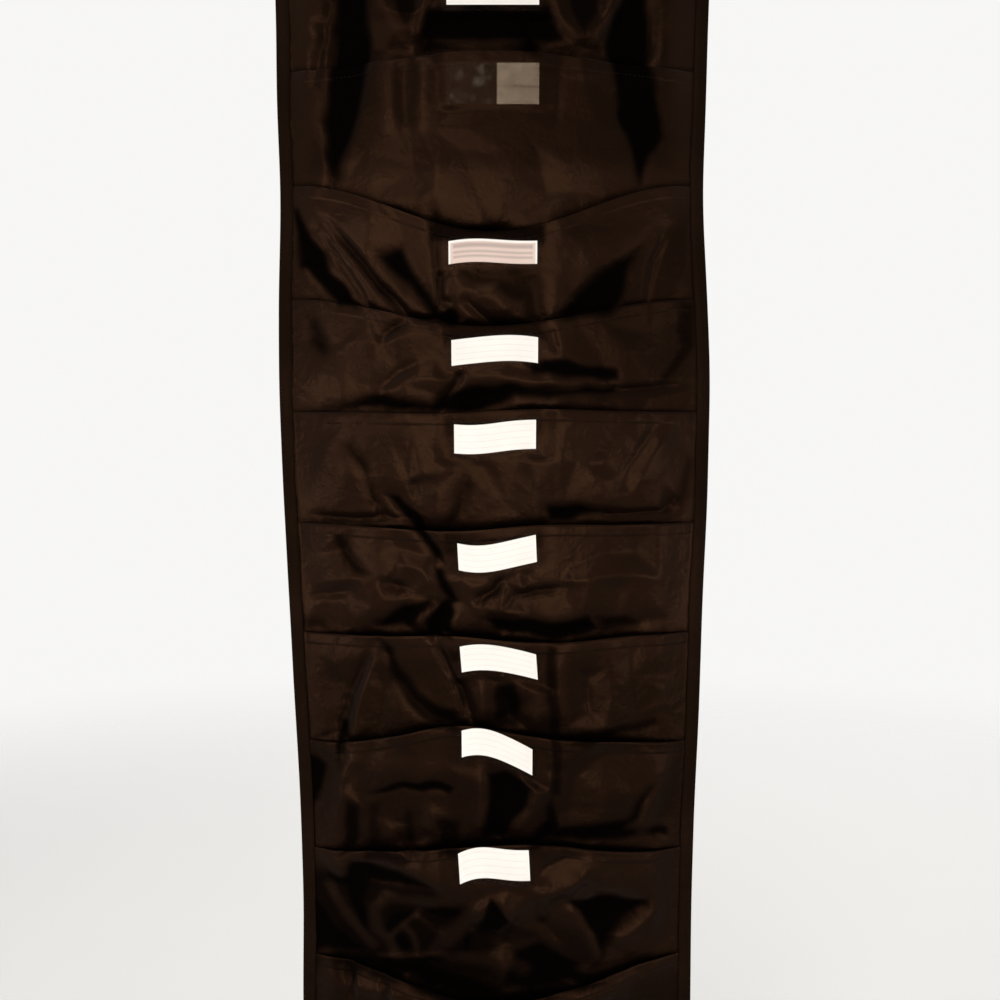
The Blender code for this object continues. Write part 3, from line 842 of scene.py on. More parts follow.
@dataclass(frozen=True)
class Layout:
    """Where the cloth layers lie when the organizer hangs at rest."""

    width: float = 0.330
    top: float = 0.020
    first_mouth: float = -0.060
    pockets: int = 10
    pitch: float = 0.085
    pocket_depth: float = 0.190
    bottom: float = -1.030
    casing: float = -0.025
    panel_back: float = 0.0008
    panel_front: float = 0.0016
    sheet_base: float = 0.0019
    seam_step: float = 0.00085
    gape: float = 0.015
    cloth: float = 0.0005
    edge_x: float = 0.1642
    sewn_x: float = 0.154
    tilt_reach: float = 0.060
    sags: tuple[float, ...] = (0.009, -0.009, 0.036, 0.021, -0.001, 0.002, 0.001, -0.016, -0.012, 0.030)
    tilts: tuple[float, ...] = (0.0, 0.0, 0.0, -1.5, -3.5, -5.5, 6.0, 11.0, -3.0, 0.0)

    @property
    def lean(self) -> float:
        """Angle of a pocket front from upright, in radians."""
        return math.atan2(self.gape, self.pitch)

    def tilt(self, index: int) -> float:
        """Angle of a mouth's middle, in radians, right side down."""
        return math.radians(self.tilts[index])

    def seam(self, index: int) -> float:
        """Height of a pocket's bottom seam."""
        return self.first_mouth - index * self.pitch - self.pocket_depth

    def fullness(self, x: Array) -> Array:
        """Share of the full bulge at x: 1 in the middle, 0 where the sides are sewn."""
        reach = np.minimum(1.0, np.abs(x) / self.sewn_x)
        return np.cos(0.5 * np.pi * reach**1.6)

    def mouth_height(self, index: int, x: Array | float) -> Array:
        """Work out the height of a mouth above its own bottom seam.

        Args:
            index: The pocket's number, from 0 at the top.
            x: Distances across the flat panel.

        Returns:
            Heights in metres.
        """
        x = np.asarray(x, float)
        dip = 0.5 + 0.5 * np.cos(np.pi * np.minimum(1.0, np.abs(x) / self.sewn_x))
        slant = math.tan(self.tilt(index)) * x * np.exp(-((x / self.tilt_reach) ** 2))
        return self.pocket_depth - self.sags[index] * dip - slant

    def mouth_z(self, index: int, x: Array | float) -> Array:
        """Height of a mouth's edge."""
        return self.seam(index) + self.mouth_height(index, x)

    def layer(self, x: Array) -> Array:
        """Depth from one pocket front to the next, at x."""
        return self.seam_step + (self.gape - self.seam_step) * self.fullness(x)

    def base_depth(self, index: int, x: Array, z: Array) -> Array:
        """Depth of a smooth pocket front."""
        return self.sheet_base + self.layer(x) * (z - self.seam(index)) / self.pitch

    def label_matrix(self, index: int) -> Array:
        """Work out the frame of a label: on the front of the cloth, at the middle of the mouth.

        Args:
            index: The pocket's number, from 0 at the top.

        Returns:
            The frame as a matrix of 4 by 4.
        """
        hinge = Matrix.Translation((0.0, -self.sheet_base, self.seam(index)))
        rise = float(self.mouth_height(index, 0.0)) / math.cos(self.lean)
        face = Matrix.Translation((0.0, -self.cloth, rise))
        lean, tilt = Matrix.Rotation(self.lean, 4, "X"), Matrix.Rotation(self.tilt(index), 4, "Y")
        return np.array(hinge @ lean @ face @ tilt)


def mix_corners(values: Array, i: Array, j: Array, s: Array, t: Array) -> Array:
    """Mix the values at the four grid points around each place.

    Args:
        values: The grid.
        i: Whole steps along the grid's first axis.
        j: Whole steps along its second axis.
        s: Shares of the next step along the first axis.
        t: Shares of the next step along the second axis.

    Returns:
        The mixed values.
    """
    low = values[i, j] * (1 - s) + values[i + 1, j] * s
    high = values[i, j + 1] * (1 - s) + values[i + 1, j + 1] * s
    return low * (1 - t) + high * t


class Lattice:
    """Smooth random values on a grid, the same on every run."""

    size = 512
    middle = (200.0, 300.0)

    def __init__(self, cell: float, seed: int) -> None:
        """Draw the grid's values.

        Args:
            cell: Distance between grid points, in metres.
            seed: Seed of the draw.
        """
        self.cell = cell
        self.values = np.random.default_rng(seed).uniform(-1.0, 1.0, (self.size, self.size))

    def at(self, x: Array | float, z: Array | float) -> Array:
        """Look up values between the grid's points.

        Args:
            x: Distances across.
            z: Heights.

        Returns:
            Values from -1 to 1.
        """
        u, v = (np.asarray(place) / self.cell + start for place, start in zip((x, z), self.middle))
        i, j = np.floor(u).astype(int), np.floor(v).astype(int)
        last = self.size - 1
        return mix_corners(self.values, i % last, j % last, smooth(u - i), smooth(v - j))


class Drape:
    """Folds, ripples and painted shade that every layer shares, so that the layers nest."""

    # The grid of the folds, in metres
    step = 0.001
    low = (-0.174, -1.046)
    high = (0.174, 0.034)
    # Facets of plain cloth: their size and unevenness, in millimetres
    facet = 25.0
    unevenness = 2.2
    # Points along the folds: their spacing, random shift and least distance, in millimetres
    spacing = 5.0
    jitter = 0.7
    closest = 2.6
    # Plain points stay off a fold by so many millimetres, or so many times its reach
    guard = (9.0, 1.7)
    # First and last plain points across and up, in millimetres, and their random shift in facets
    net_x = (-190, 191)
    net_z = (-1060, 61)
    net_shift = 0.38
    # How much more the folds stand out, and how often their heights are blurred
    relief = 1.35
    blur = 5
    # Depths of a drawn fold whose painted shade goes from none to full, in millimetres
    shaded_from = 2.0
    shaded_over = 3.0
    # Hollows: the share of their depth that is sunk, and their slope's start and width, in millimetres
    sunk_share = 0.5
    slope_start = 7.0
    slope_width = 18.0
    # Depth of a hollow in full painted shade, in millimetres, and how much of its painted shade a crest
    # takes away
    full_shade = 7.0
    catch = 0.7
    # How steeply the painted shade fades at a hollow's edge, and from where on a crest lifts it as painted
    # light, in reaches
    edge_slope = 0.6
    crest_reach = 1.25
    # How far the hollows' outlines wander, and the margin around what is drawn, in millimetres
    wander = 2.4
    margin = 16.0
    # The sewn sides' distance from the wall, its change, and where it starts across and down, in metres
    ripple_least = 0.0006
    ripple_height = 0.0030
    ripple_x = (0.100, 0.055)
    ripple_z = (-0.035, 0.05)
    # Where the cloth between the folds hangs slack: half its width, its fade, and how far it lies behind at
    # each height, in millimetres
    slack_half = 128.0
    slack_fade = 15.0
    slack = ((-1060, -850, -830, -778, -758, -150, -132, -98, 60), (0, 0, -2, -2, 0, 0, -4, -3, 0))
    # Height, left edge and right edge of the hanging panel, in millimetres
    edges = (
        (40, -165.0, 165.0), (-40, -164.5, 164.0), (-91, -163.0, 162.0), (-165, -163.0, 160.5),
        (-240, -160.5, 158.5), (-315, -163.3, 163.2), (-376, -164.0, 166.0), (-468, -161.2, 164.8),
        (-546, -157.4, 161.8), (-624, -154.3, 160.2), (-704, -150.4, 157.1), (-784, -148.8, 155.5),
        (-848, -149.5, 155.3), (-940, -151.0, 156.0), (-1040, -152.0, 156.5),
    )
    edge_points = 400
    edge_blur = 37

    def __init__(self, layout: Layout) -> None:
        """Work out the folds and their painted shade once, on a fine grid.

        Args:
            layout: Where the layers lie.
        """
        self.layout = layout
        self.wave = Lattice(0.060, 31)
        xs, zs = (
            low + self.step * np.arange(round((high - low) / self.step) + 1)
            for low, high in zip(self.low, self.high)
        )
        self.x, self.z = np.meshgrid(xs, zs)
        heights, *sides = np.array(self.edges[::-1], float).T * MM
        self.edge_z = np.linspace(heights[0], heights[-1], self.edge_points)
        kernel = np.hanning(self.edge_blur) / np.hanning(self.edge_blur).sum()
        padded = (
            np.pad(np.interp(self.edge_z, heights, side), self.edge_blur // 2, mode="edge") for side in sides
        )
        self.left, self.right = (np.convolve(side, kernel, mode="valid") for side in padded)
        sunk, shade = self.sink()
        drawn = self.draw_folds()
        # Painted shade: from the hollows, and where a drawn fold lies deep
        painted_shade = smooth((-drawn / MM - self.shaded_from) / self.shaded_over)
        self.shade = self.soften(np.maximum(shade, painted_shade), 1)
        self.folds = self.soften(self.relief * drawn + sunk, self.blur)
        lowest, highest = self.folds.min() / MM, self.folds.max() / MM
        LOG.info("drape: %d folds from %.1f to %.1f mm", len(FOLDS), lowest, highest)

    def net(self) -> Array:
        """Gather the points that the cloth is stretched between.

        Returns:
            Points as (x, z, height), in millimetres, along the folds and spread between them.
        """
        draw = np.random.default_rng(17)
        kept = np.empty((0, 3))
        guards = []
        for fold in sorted(FOLDS, key=lambda fold: -abs(fold.rise)):
            points = np.array(fold.points(self.spacing))
            points[:, :2] += draw.uniform(-self.jitter, self.jitter, (len(points), 2))
            guards += [(x, z, max(self.guard[0], self.guard[1] * fold.reach)) for x, z, _ in points]
            for point in points:
                if not len(kept) or np.hypot(*(kept[:, :2] - point[:2]).T).min() > self.closest:
                    kept = np.vstack((kept, point))
        guards = np.array(guards)
        xs, zs = np.arange(*self.net_x, self.facet), np.arange(*self.net_z, self.facet)
        for x, z in np.stack(np.meshgrid(xs, zs), axis=-1).reshape(-1, 2):
            point = np.array((x, z)) + draw.uniform(-self.net_shift, self.net_shift, 2) * self.facet
            height = draw.uniform(-self.unevenness, self.unevenness)
            if np.all(np.hypot(guards[:, 0] - point[0], guards[:, 1] - point[1]) > guards[:, 2]):
                kept = np.vstack((kept, (*point, height)))
        return kept

    def draw_folds(self) -> Array:
        """Stretch flat facets between the lines of the folds, as creased cloth does.

        Returns:
            Heights on the grid, in metres.
        """
        net = self.net()
        found = delaunay_2d_cdt([Vector(point) for point in net[:, :2]], [], [], 0, 0.01)
        places = np.array([tuple(vert) for vert in found[0]])
        heights = np.array([net[origin[0], 2] if origin else 0.0 for origin in found[3]])
        x, z = self.x / MM, self.z / MM
        total = np.zeros(x.shape)
        low, step = np.array(self.low) / MM, self.step / MM
        for face in found[2]:
            corners, rise = places[list(face)], heights[list(face)]
            first = np.clip(((corners.min(0) - low) / step).astype(int), 0, None)
            last = np.clip(((corners.max(0) - low) / step).astype(int) + 2, 0, None)
            part = (slice(first[1], last[1]), slice(first[0], last[0]))
            sides = np.linalg.inv(np.vstack((corners.T, np.ones(3))))
            shares = np.stack((x[part], z[part], np.ones(x[part].shape)), axis=-1) @ sides.T
            inside = np.all(shares > -1e-6, axis=-1)
            total[part] = np.where(inside, shares @ rise, total[part])
        LOG.info("drape: %d facets between %d points", len(found[2]), len(net))
        middle = smooth((self.slack_half - np.abs(x)) / self.slack_fade)
        return (total + middle * np.interp(z, *self.slack)) * MM

    def sink(self) -> tuple[Array, Array]:
        """Sink the hollows, and paint shade on them by their depth, taken back along crests.

        Returns:
            Depths on the grid, in metres below 0, and painted shades from 0 to 1.
        """
        x, z = (
            flat / MM + self.wander * Lattice(0.014, seed).at(self.x, self.z)
            for flat, seed in ((self.x, 12), (self.z, 13))
        )
        sunk, shade = np.zeros(x.shape), np.zeros(x.shape)
        for place in HOLLOWS:
            part = self.window(place.outline)
            inside = place.inside(x[part], z[part])
            slope = smooth((inside + self.slope_start) / self.slope_width)
            sunk[part] = np.minimum(sunk[part], -self.sunk_share * place.depth * MM * slope)
            # Painted shade of the hollow, fading over its soft edge
            dark = smooth(0.5 + self.edge_slope * inside / place.edge)
            shade[part] = np.maximum(shade[part], min(1.0, place.depth / self.full_shade) * dark)
        # Crests take back part of the painted shade, as if they caught the light
        for fold in FOLDS:
            if fold.rise > 0.0:
                part = self.window(fold.line)
                away = line_distance(x[part], z[part], fold.line) / fold.reach
                shade[part] *= 1.0 - self.catch * smooth(self.crest_reach - away)
        return sunk, shade

    def window(self, line: tuple[Spot, ...]) -> tuple[slice, slice]:
        """Find the part of the grid around a line, with a margin.

        Args:
            line: Corners of the line, in millimetres.

        Returns:
            Slices of the grid's rows and columns.
        """
        corners = np.array(line) * MM
        first = ((corners.min(0) - self.margin * MM - self.low) / self.step).astype(int)
        last = ((corners.max(0) + self.margin * MM - self.low) / self.step).astype(int)
        (left, low), (right, high) = np.maximum(first, 0), np.maximum(last, 1)
        return slice(low, high), slice(left, right)

    @staticmethod
    def soften(values: Array, passes: int) -> Array:
        """Blur a grid of values a little.

        Args:
            values: The grid.
            passes: How many times to blur it.

        Returns:
            The blurred grid.
        """
        for _ in range(passes):
            for axis in (0, 1):
                padded = np.pad(values.swapaxes(0, axis), ((1, 1), (0, 0)), mode="edge")
                values = (0.25 * padded[:-2] + 0.5 * padded[1:-1] + 0.25 * padded[2:]).swapaxes(0, axis)
        return values

    def sample(self, values: Array, x: Array, z: Array) -> Array:
        """Look up one of the grids at points of the hanging panel.

        Args:
            values: The grid.
            x: Distances across, in metres.
            z: Heights, in metres.

        Returns:
            Values at the points.
        """
        rows, columns = values.shape
        u = np.clip((x - self.low[0]) / self.step, 0, columns - 1.001)
        v = np.clip((z - self.low[1]) / self.step, 0, rows - 1.001)
        i, j = u.astype(int), v.astype(int)
        return mix_corners(values.T, i, j, u - i, v - j)

    def across(self, x: Array, z: Array) -> Array:
        """Where a point at x of the flat panel hangs, with the sides drawn in."""
        left, right = (np.interp(z, self.edge_z, edge) for edge in (self.left, self.right))
        return left + (right - left) * (np.asarray(x) / self.layout.width + 0.5)

    def ripple(self, x: Array | float, z: Array | float) -> Array:
        """Work out how far the sewn sides stand off the wall.

        Args:
            x: Distances across the flat panel.
            z: Heights.

        Returns:
            Distances in metres, 0 in the middle.
        """
        (start_x, over_x), (start_z, over_z) = self.ripple_x, self.ripple_z
        side = smooth((np.abs(x) - start_x) / over_x) * smooth((start_z - z) / over_z)
        wave = 0.5 + 0.5 * self.wave.at(np.sign(x) * 0.2, z)
        return side * (self.ripple_least + self.ripple_height * wave)

    def hang(self, x: Array | float, depth: Array | float, z: Array | float) -> Array:
        """Place points of the flat panel as it hangs.

        Args:
            x: Distances across the flat panel.
            depth: Distances out from the wall, before the sides' ripple.
            z: Heights.

        Returns:
            Points, with their x, y and z along the last axis.
        """
        x, depth, z = np.broadcast_arrays(x, depth, z)
        return np.stack((self.across(x, z), -(depth + self.ripple(x, z)), z), axis=-1)


def solid_mesh(name: str, points: Array, faces: list[tuple[int, ...]]) -> bpy.types.Mesh:
    """Make a closed mesh with its faces outwards and smooth shading.

    Args:
        name: The mesh's name.
        points: The vertices' places.
        faces: The faces' vertices.

    Returns:
        The mesh.
    """
    mesh = bpy.data.meshes.new(name)
    mesh.from_pydata(points.reshape(-1, 3).tolist(), [], faces)
    work = bmesh.new()
    work.from_mesh(mesh)
    bmesh.ops.recalc_face_normals(work, faces=work.faces)
    work.to_mesh(mesh)
    work.free()
    mesh.shade_smooth()
    return mesh


def shell(name: str, face: Array, back: Array) -> bpy.types.Mesh:
    """Close two grids of points into one thin solid.

    Args:
        name: The mesh's name.
        face: Points of the side towards the viewer, as rows by columns by 3.
        back: Points of the other side, in the same order.

    Returns:
        A closed mesh with smooth shading.
    """
    rows, columns = face.shape[:2]
    count = rows * columns
    starts = [r * columns + c for r in range(rows - 1) for c in range(columns - 1)]
    faces = [(a, a + 1, a + columns + 1, a + columns) for a in starts]
    faces += [tuple(a + count for a in reversed(quad)) for quad in faces]
    rim = [*range(columns)]
    rim += [r * columns + columns - 1 for r in range(1, rows)]
    rim += [(rows - 1) * columns + c for c in range(columns - 2, -1, -1)]
    rim += [r * columns for r in range(rows - 2, 0, -1)]
    faces += [(b, a, a + count, b + count) for a, b in zip(rim, rim[1:] + rim[:1])]
    return solid_mesh(name, np.stack((face, back)), faces)


def loft(name: str, sections: Array) -> bpy.types.Mesh:
    """Join closed outlines of the same number of points into one solid.

    Args:
        name: The mesh's name.
        sections: Points as outlines by points by 3.

    Returns:
        A closed mesh with smooth shading.
    """
    count, around = sections.shape[:2]
    faces: list[tuple[int, ...]] = []
    for r in range(count - 1):
        for c in range(around):
            a, b = r * around + c, r * around + (c + 1) % around
            faces.append((a, b, b + around, a + around))
    faces.append(tuple(range(around)))
    faces.append(tuple((count - 1) * around + c for c in reversed(range(around))))
    return solid_mesh(name, sections, faces)


def sharpen(mesh: bpy.types.Mesh, degrees: float) -> None:
    """Keep an edge hard where its faces turn by more than this."""
    mesh.set_sharp_from_angle(angle=math.radians(degrees))


def add_piece(mesh: bpy.types.Mesh) -> bpy.types.Object:
    """Link a mesh as a piece.

    Args:
        mesh: The mesh, whose name the piece takes.

    Returns:
        The piece.
    """
    item = bpy.data.objects.new(mesh.name, mesh)
    bpy.context.scene.collection.objects.link(item)
    return item


def paint(item: bpy.types.Object, material: bpy.types.Material) -> None:
    """Give a piece its one finish."""
    item.data.materials.clear()
    item.data.materials.append(material)


def plain_mesh(item: bpy.types.Object) -> bpy.types.Mesh:
    """Make a plain mesh of an object with its modifiers, and take the modifiers off.

    Args:
        item: The object.

    Returns:
        The mesh, which the object doesn't use yet.
    """
    graph = bpy.context.evaluated_depsgraph_get()
    mesh = bpy.data.meshes.new_from_object(item.evaluated_get(graph))
    item.modifiers.clear()
    return mesh


class StitchMaker:
    """Rows of thread stitches along lines, made by one Geometry Nodes tree."""

    inputs = {
        "Geometry": "NodeSocketGeometry",
        "Pitch": "NodeSocketFloat",
        "Stitch Length": "NodeSocketFloat",
        "Thread Radius": "NodeSocketFloat",
        "Seed": "NodeSocketInt",
        "Thread": "NodeSocketMaterial",
    }
    # The least and the most that a stitch is scaled by
    vary = (0.85, 1.08)

    def __init__(self, thread: bpy.types.Material) -> None:
        """Build the tree and keep its inputs' identifiers.

        Args:
            thread: The stitches' material.
        """
        self.thread = thread
        self.tree = bpy.data.node_groups.new("stitch_row", "GeometryNodeTree")
        self.tree.is_modifier = True
        face = self.tree.interface
        face.new_socket(name="Geometry", in_out="OUTPUT", socket_type="NodeSocketGeometry")
        self.ids = {
            name: face.new_socket(name=name, in_out="INPUT", socket_type=kind).identifier
            for name, kind in self.inputs.items()
        }
        self.wire()

    def wire(self) -> None:
        """Lay out the tree: one bead of thread, stretched and turned along the line at every pitch."""
        book = NodeBook(self.tree)
        line, pitch, length, radius, seed, thread = book.outputs("NodeGroupInput", {}, *self.inputs)
        curve = book.add("GeometryNodeMeshToCurve", {}, {"Mesh": line})
        spaced = book.add("GeometryNodeResampleCurve", {"mode": "LENGTH"}, {"Curve": curve, "Length": pitch})
        bead = book.add("GeometryNodeMeshUVSphere", {}, {"Segments": 6, "Rings": 4, "Radius": 0.5}, "Mesh")
        thick = radius * 2.0
        size = book.add("ShaderNodeCombineXYZ", {}, {0: length, 1: thick, 2: thick})
        stitch = book.add("GeometryNodeTransform", {}, {"Geometry": bead, "Scale": size})
        tangent = book.add("GeometryNodeInputTangent", {}, {})
        turn = book.add("FunctionNodeAlignRotationToVector", {"axis": "X"}, {"Vector": tangent})
        least, most = self.vary
        sockets = {2: least, 3: most, "Seed": seed}
        vary = book.add("FunctionNodeRandomValue", {"data_type": "FLOAT"}, sockets, 1)
        sockets = {"Points": spaced, "Instance": stitch, "Rotation": turn, "Scale": vary}
        row = book.add("GeometryNodeInstanceOnPoints", {}, sockets)
        row = book.add("GeometryNodeRealizeInstances", {}, {"Geometry": row})
        row = book.add("GeometryNodeSetMaterial", {}, {"Geometry": row, "Material": thread})
        book.add("NodeGroupOutput", {}, {"Geometry": row})

    def sew(
        self, name: str, lines: Iterable[Array], seed: int,
        pitch: float = 0.0032, length: float = 0.0024, radius: float = 0.00017,
    ) -> bpy.types.Object:
        """Sew rows of stitches along lines.

        Args:
            name: The piece's name.
            lines: Lines of points on the cloth.
            seed: Seed of the stitches' small differences.
            pitch: Distance from stitch to stitch.
            length: Length of a stitch.
            radius: Radius of the thread.

        Returns:
            The stitches as one plain mesh.
        """
        verts: list[list[float]] = []
        edges: list[tuple[int, int]] = []
        for line in lines:
            start = len(verts)
            verts += np.asarray(line).tolist()
            edges += [(k, k + 1) for k in range(start, len(verts) - 1)]
        mesh = bpy.data.meshes.new(name)
        mesh.from_pydata(verts, edges, [])
        item = add_piece(mesh)
        modifier = item.modifiers.new("stitches", "NODES")
        modifier.node_group = self.tree
        for socket, value in zip(list(self.inputs)[1:], (pitch, length, radius, seed, self.thread)):
            modifier[self.ids[socket]] = value
        made = plain_mesh(item)
        made.shade_smooth()
        item.data = made
        bpy.data.meshes.remove(mesh)
        return item


@dataclass
class ClothAssembly:
    """What every sub-assembly of cloth is built with."""

    layout: Layout
    drape: Drape
    finishes: Finishes
    sewing: StitchMaker


@dataclass
class BackPanel(ClothAssembly):
    """The long back cloth, folded over at the top into a casing for the board."""

    half_cloth: float = 0.0004
    casing_depth: float = 0.0038
    casing_slope: float = 0.005
    seam_depth: float = 0.0022
    top_fold: float = 0.003
    fold_drop: float = 0.0025
    fold_rise: float = 0.0021
    fold_start: float = 0.15
    hole_radius: float = 0.0049
    punch_length: float = 0.03
    eyelet_x: float = 0.138
    columns: int = 110
    row_step: float = 0.005
    pucker: float = 0.00016
    wave: float = 0.00018
    loose_from: float = -0.030
    loose_over: float = 0.03
    seam_inset: float = 0.011
    seam_lift: float = 0.003
    rear_lift: float = 0.0001
    # Height over the casing's edge and depth of each row of stitches
    casing_rows: tuple[Spot, ...] = ((0.0022, 0.0027), (0.0085, 0.0043))

    def spine(self) -> Array:
        """Draw the middle line of the cloth, from the bottom edge over the top fold to the casing seam.

        Returns:
            Points as (depth, z).
        """
        lay = self.layout
        middle = (lay.panel_back + lay.panel_front) / 2
        fold_z = lay.top - self.top_fold
        count = round((fold_z - lay.bottom) / self.row_step)
        rise = [(middle, z) for z in np.linspace(lay.bottom, fold_z, count)]
        half = (self.casing_depth - middle) / 2
        fold = [
            (middle + half - half * math.cos(a), lay.top - self.fold_drop + self.fold_rise * math.sin(a))
            for a in np.linspace(self.fold_start, math.pi - self.fold_start, 7)
        ]
        foot = lay.casing + self.casing_slope
        fall = [(self.casing_depth, z) for z in np.linspace(fold_z, foot + 0.001, 10)]
        drop = self.casing_depth - self.seam_depth
        seam = [
            (self.casing_depth - drop * float(smooth(share)), foot - self.casing_slope * share)
            for share in np.arange(1, 6) / 5
        ]
        return np.array(rise + fold + fall + seam)

    def build(self) -> bpy.types.Object:
        """Build the cloth with its two eyelet holes.

        Returns:
            The cloth, without its finish.
        """
        spine = self.spine()
        xs = np.linspace(-self.layout.edge_x, self.layout.edge_x, self.columns)
        run = np.gradient(spine, axis=0)
        run /= np.linalg.norm(run, axis=1)[:, None]
        pucker, wave = Lattice(0.012, 41), Lattice(0.045, 42)
        sides = []
        for half in (self.half_cloth, -self.half_cloth):
            x, z = np.meshgrid(xs, spine[:, 1] - half * run[:, 0])
            uneven = self.pucker * pucker.at(x, z) + self.wave * wave.at(x, z)
            loose = smooth((self.loose_from - z) / self.loose_over)
            depth = (spine[:, 0] + half * run[:, 1])[:, None] + loose * uneven
            sides.append(self.drape.hang(x, depth, z))
        item = add_piece(shell("back_cloth", *sides))
        self.punch(item)
        return item

    def punch(self, item: bpy.types.Object) -> None:
        """Cut the eyelet holes through both layers of the casing.

        Args:
            item: The cloth.
        """
        cutters = []
        level = Matrix.Rotation(math.pi / 2, 4, "X")
        size = {"radius1": self.hole_radius, "radius2": self.hole_radius, "depth": self.punch_length}
        for side in (-1, 1):
            work = bmesh.new()
            place = Matrix.Translation((side * self.eyelet_x, 0.0, 0.0)) @ level
            bmesh.ops.create_cone(work, cap_ends=True, segments=32, matrix=place, **size)
            mesh = bpy.data.meshes.new(f"eyelet_punch_{side}")
            work.to_mesh(mesh)
            work.free()
            cutters.append(add_piece(mesh))
            modifier = item.modifiers.new("punch", "BOOLEAN")
            modifier.operation = "DIFFERENCE"
            modifier.solver = "EXACT"
            modifier.object = cutters[-1]
        item.data = plain_mesh(item)
        for cutter in cutters:
            bpy.data.objects.remove(cutter, do_unlink=True)

    def dress(self, item: bpy.types.Object) -> None:
        """Give the cloth its finish, its seams and its place on the frame.

        Args:
            item: The cloth.
        """
        lay = self.layout
        paint(item, self.finishes[Look.CLOTH])
        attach(item, "panel")
        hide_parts("back_panel")
        end = lay.edge_x - self.seam_inset
        xs = np.linspace(-end, end, 90)
        casing = {lay.casing + up: depth for up, depth in self.casing_rows}
        front = [self.drape.hang(xs, depth, z) for z, depth in casing.items()]
        seams = [lay.seam(index) + self.seam_lift for index in range(lay.pockets)]
        rear = [self.drape.hang(xs, lay.panel_back - self.rear_lift, z) for z in (*casing, *seams)]
        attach(self.sewing.sew("casing_stitches", front, seed=3), "panel")
        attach(self.sewing.sew("rear_seam_stitches", rear, seed=4), "panel")
        LOG.info("back panel: cloth, casing and seams")


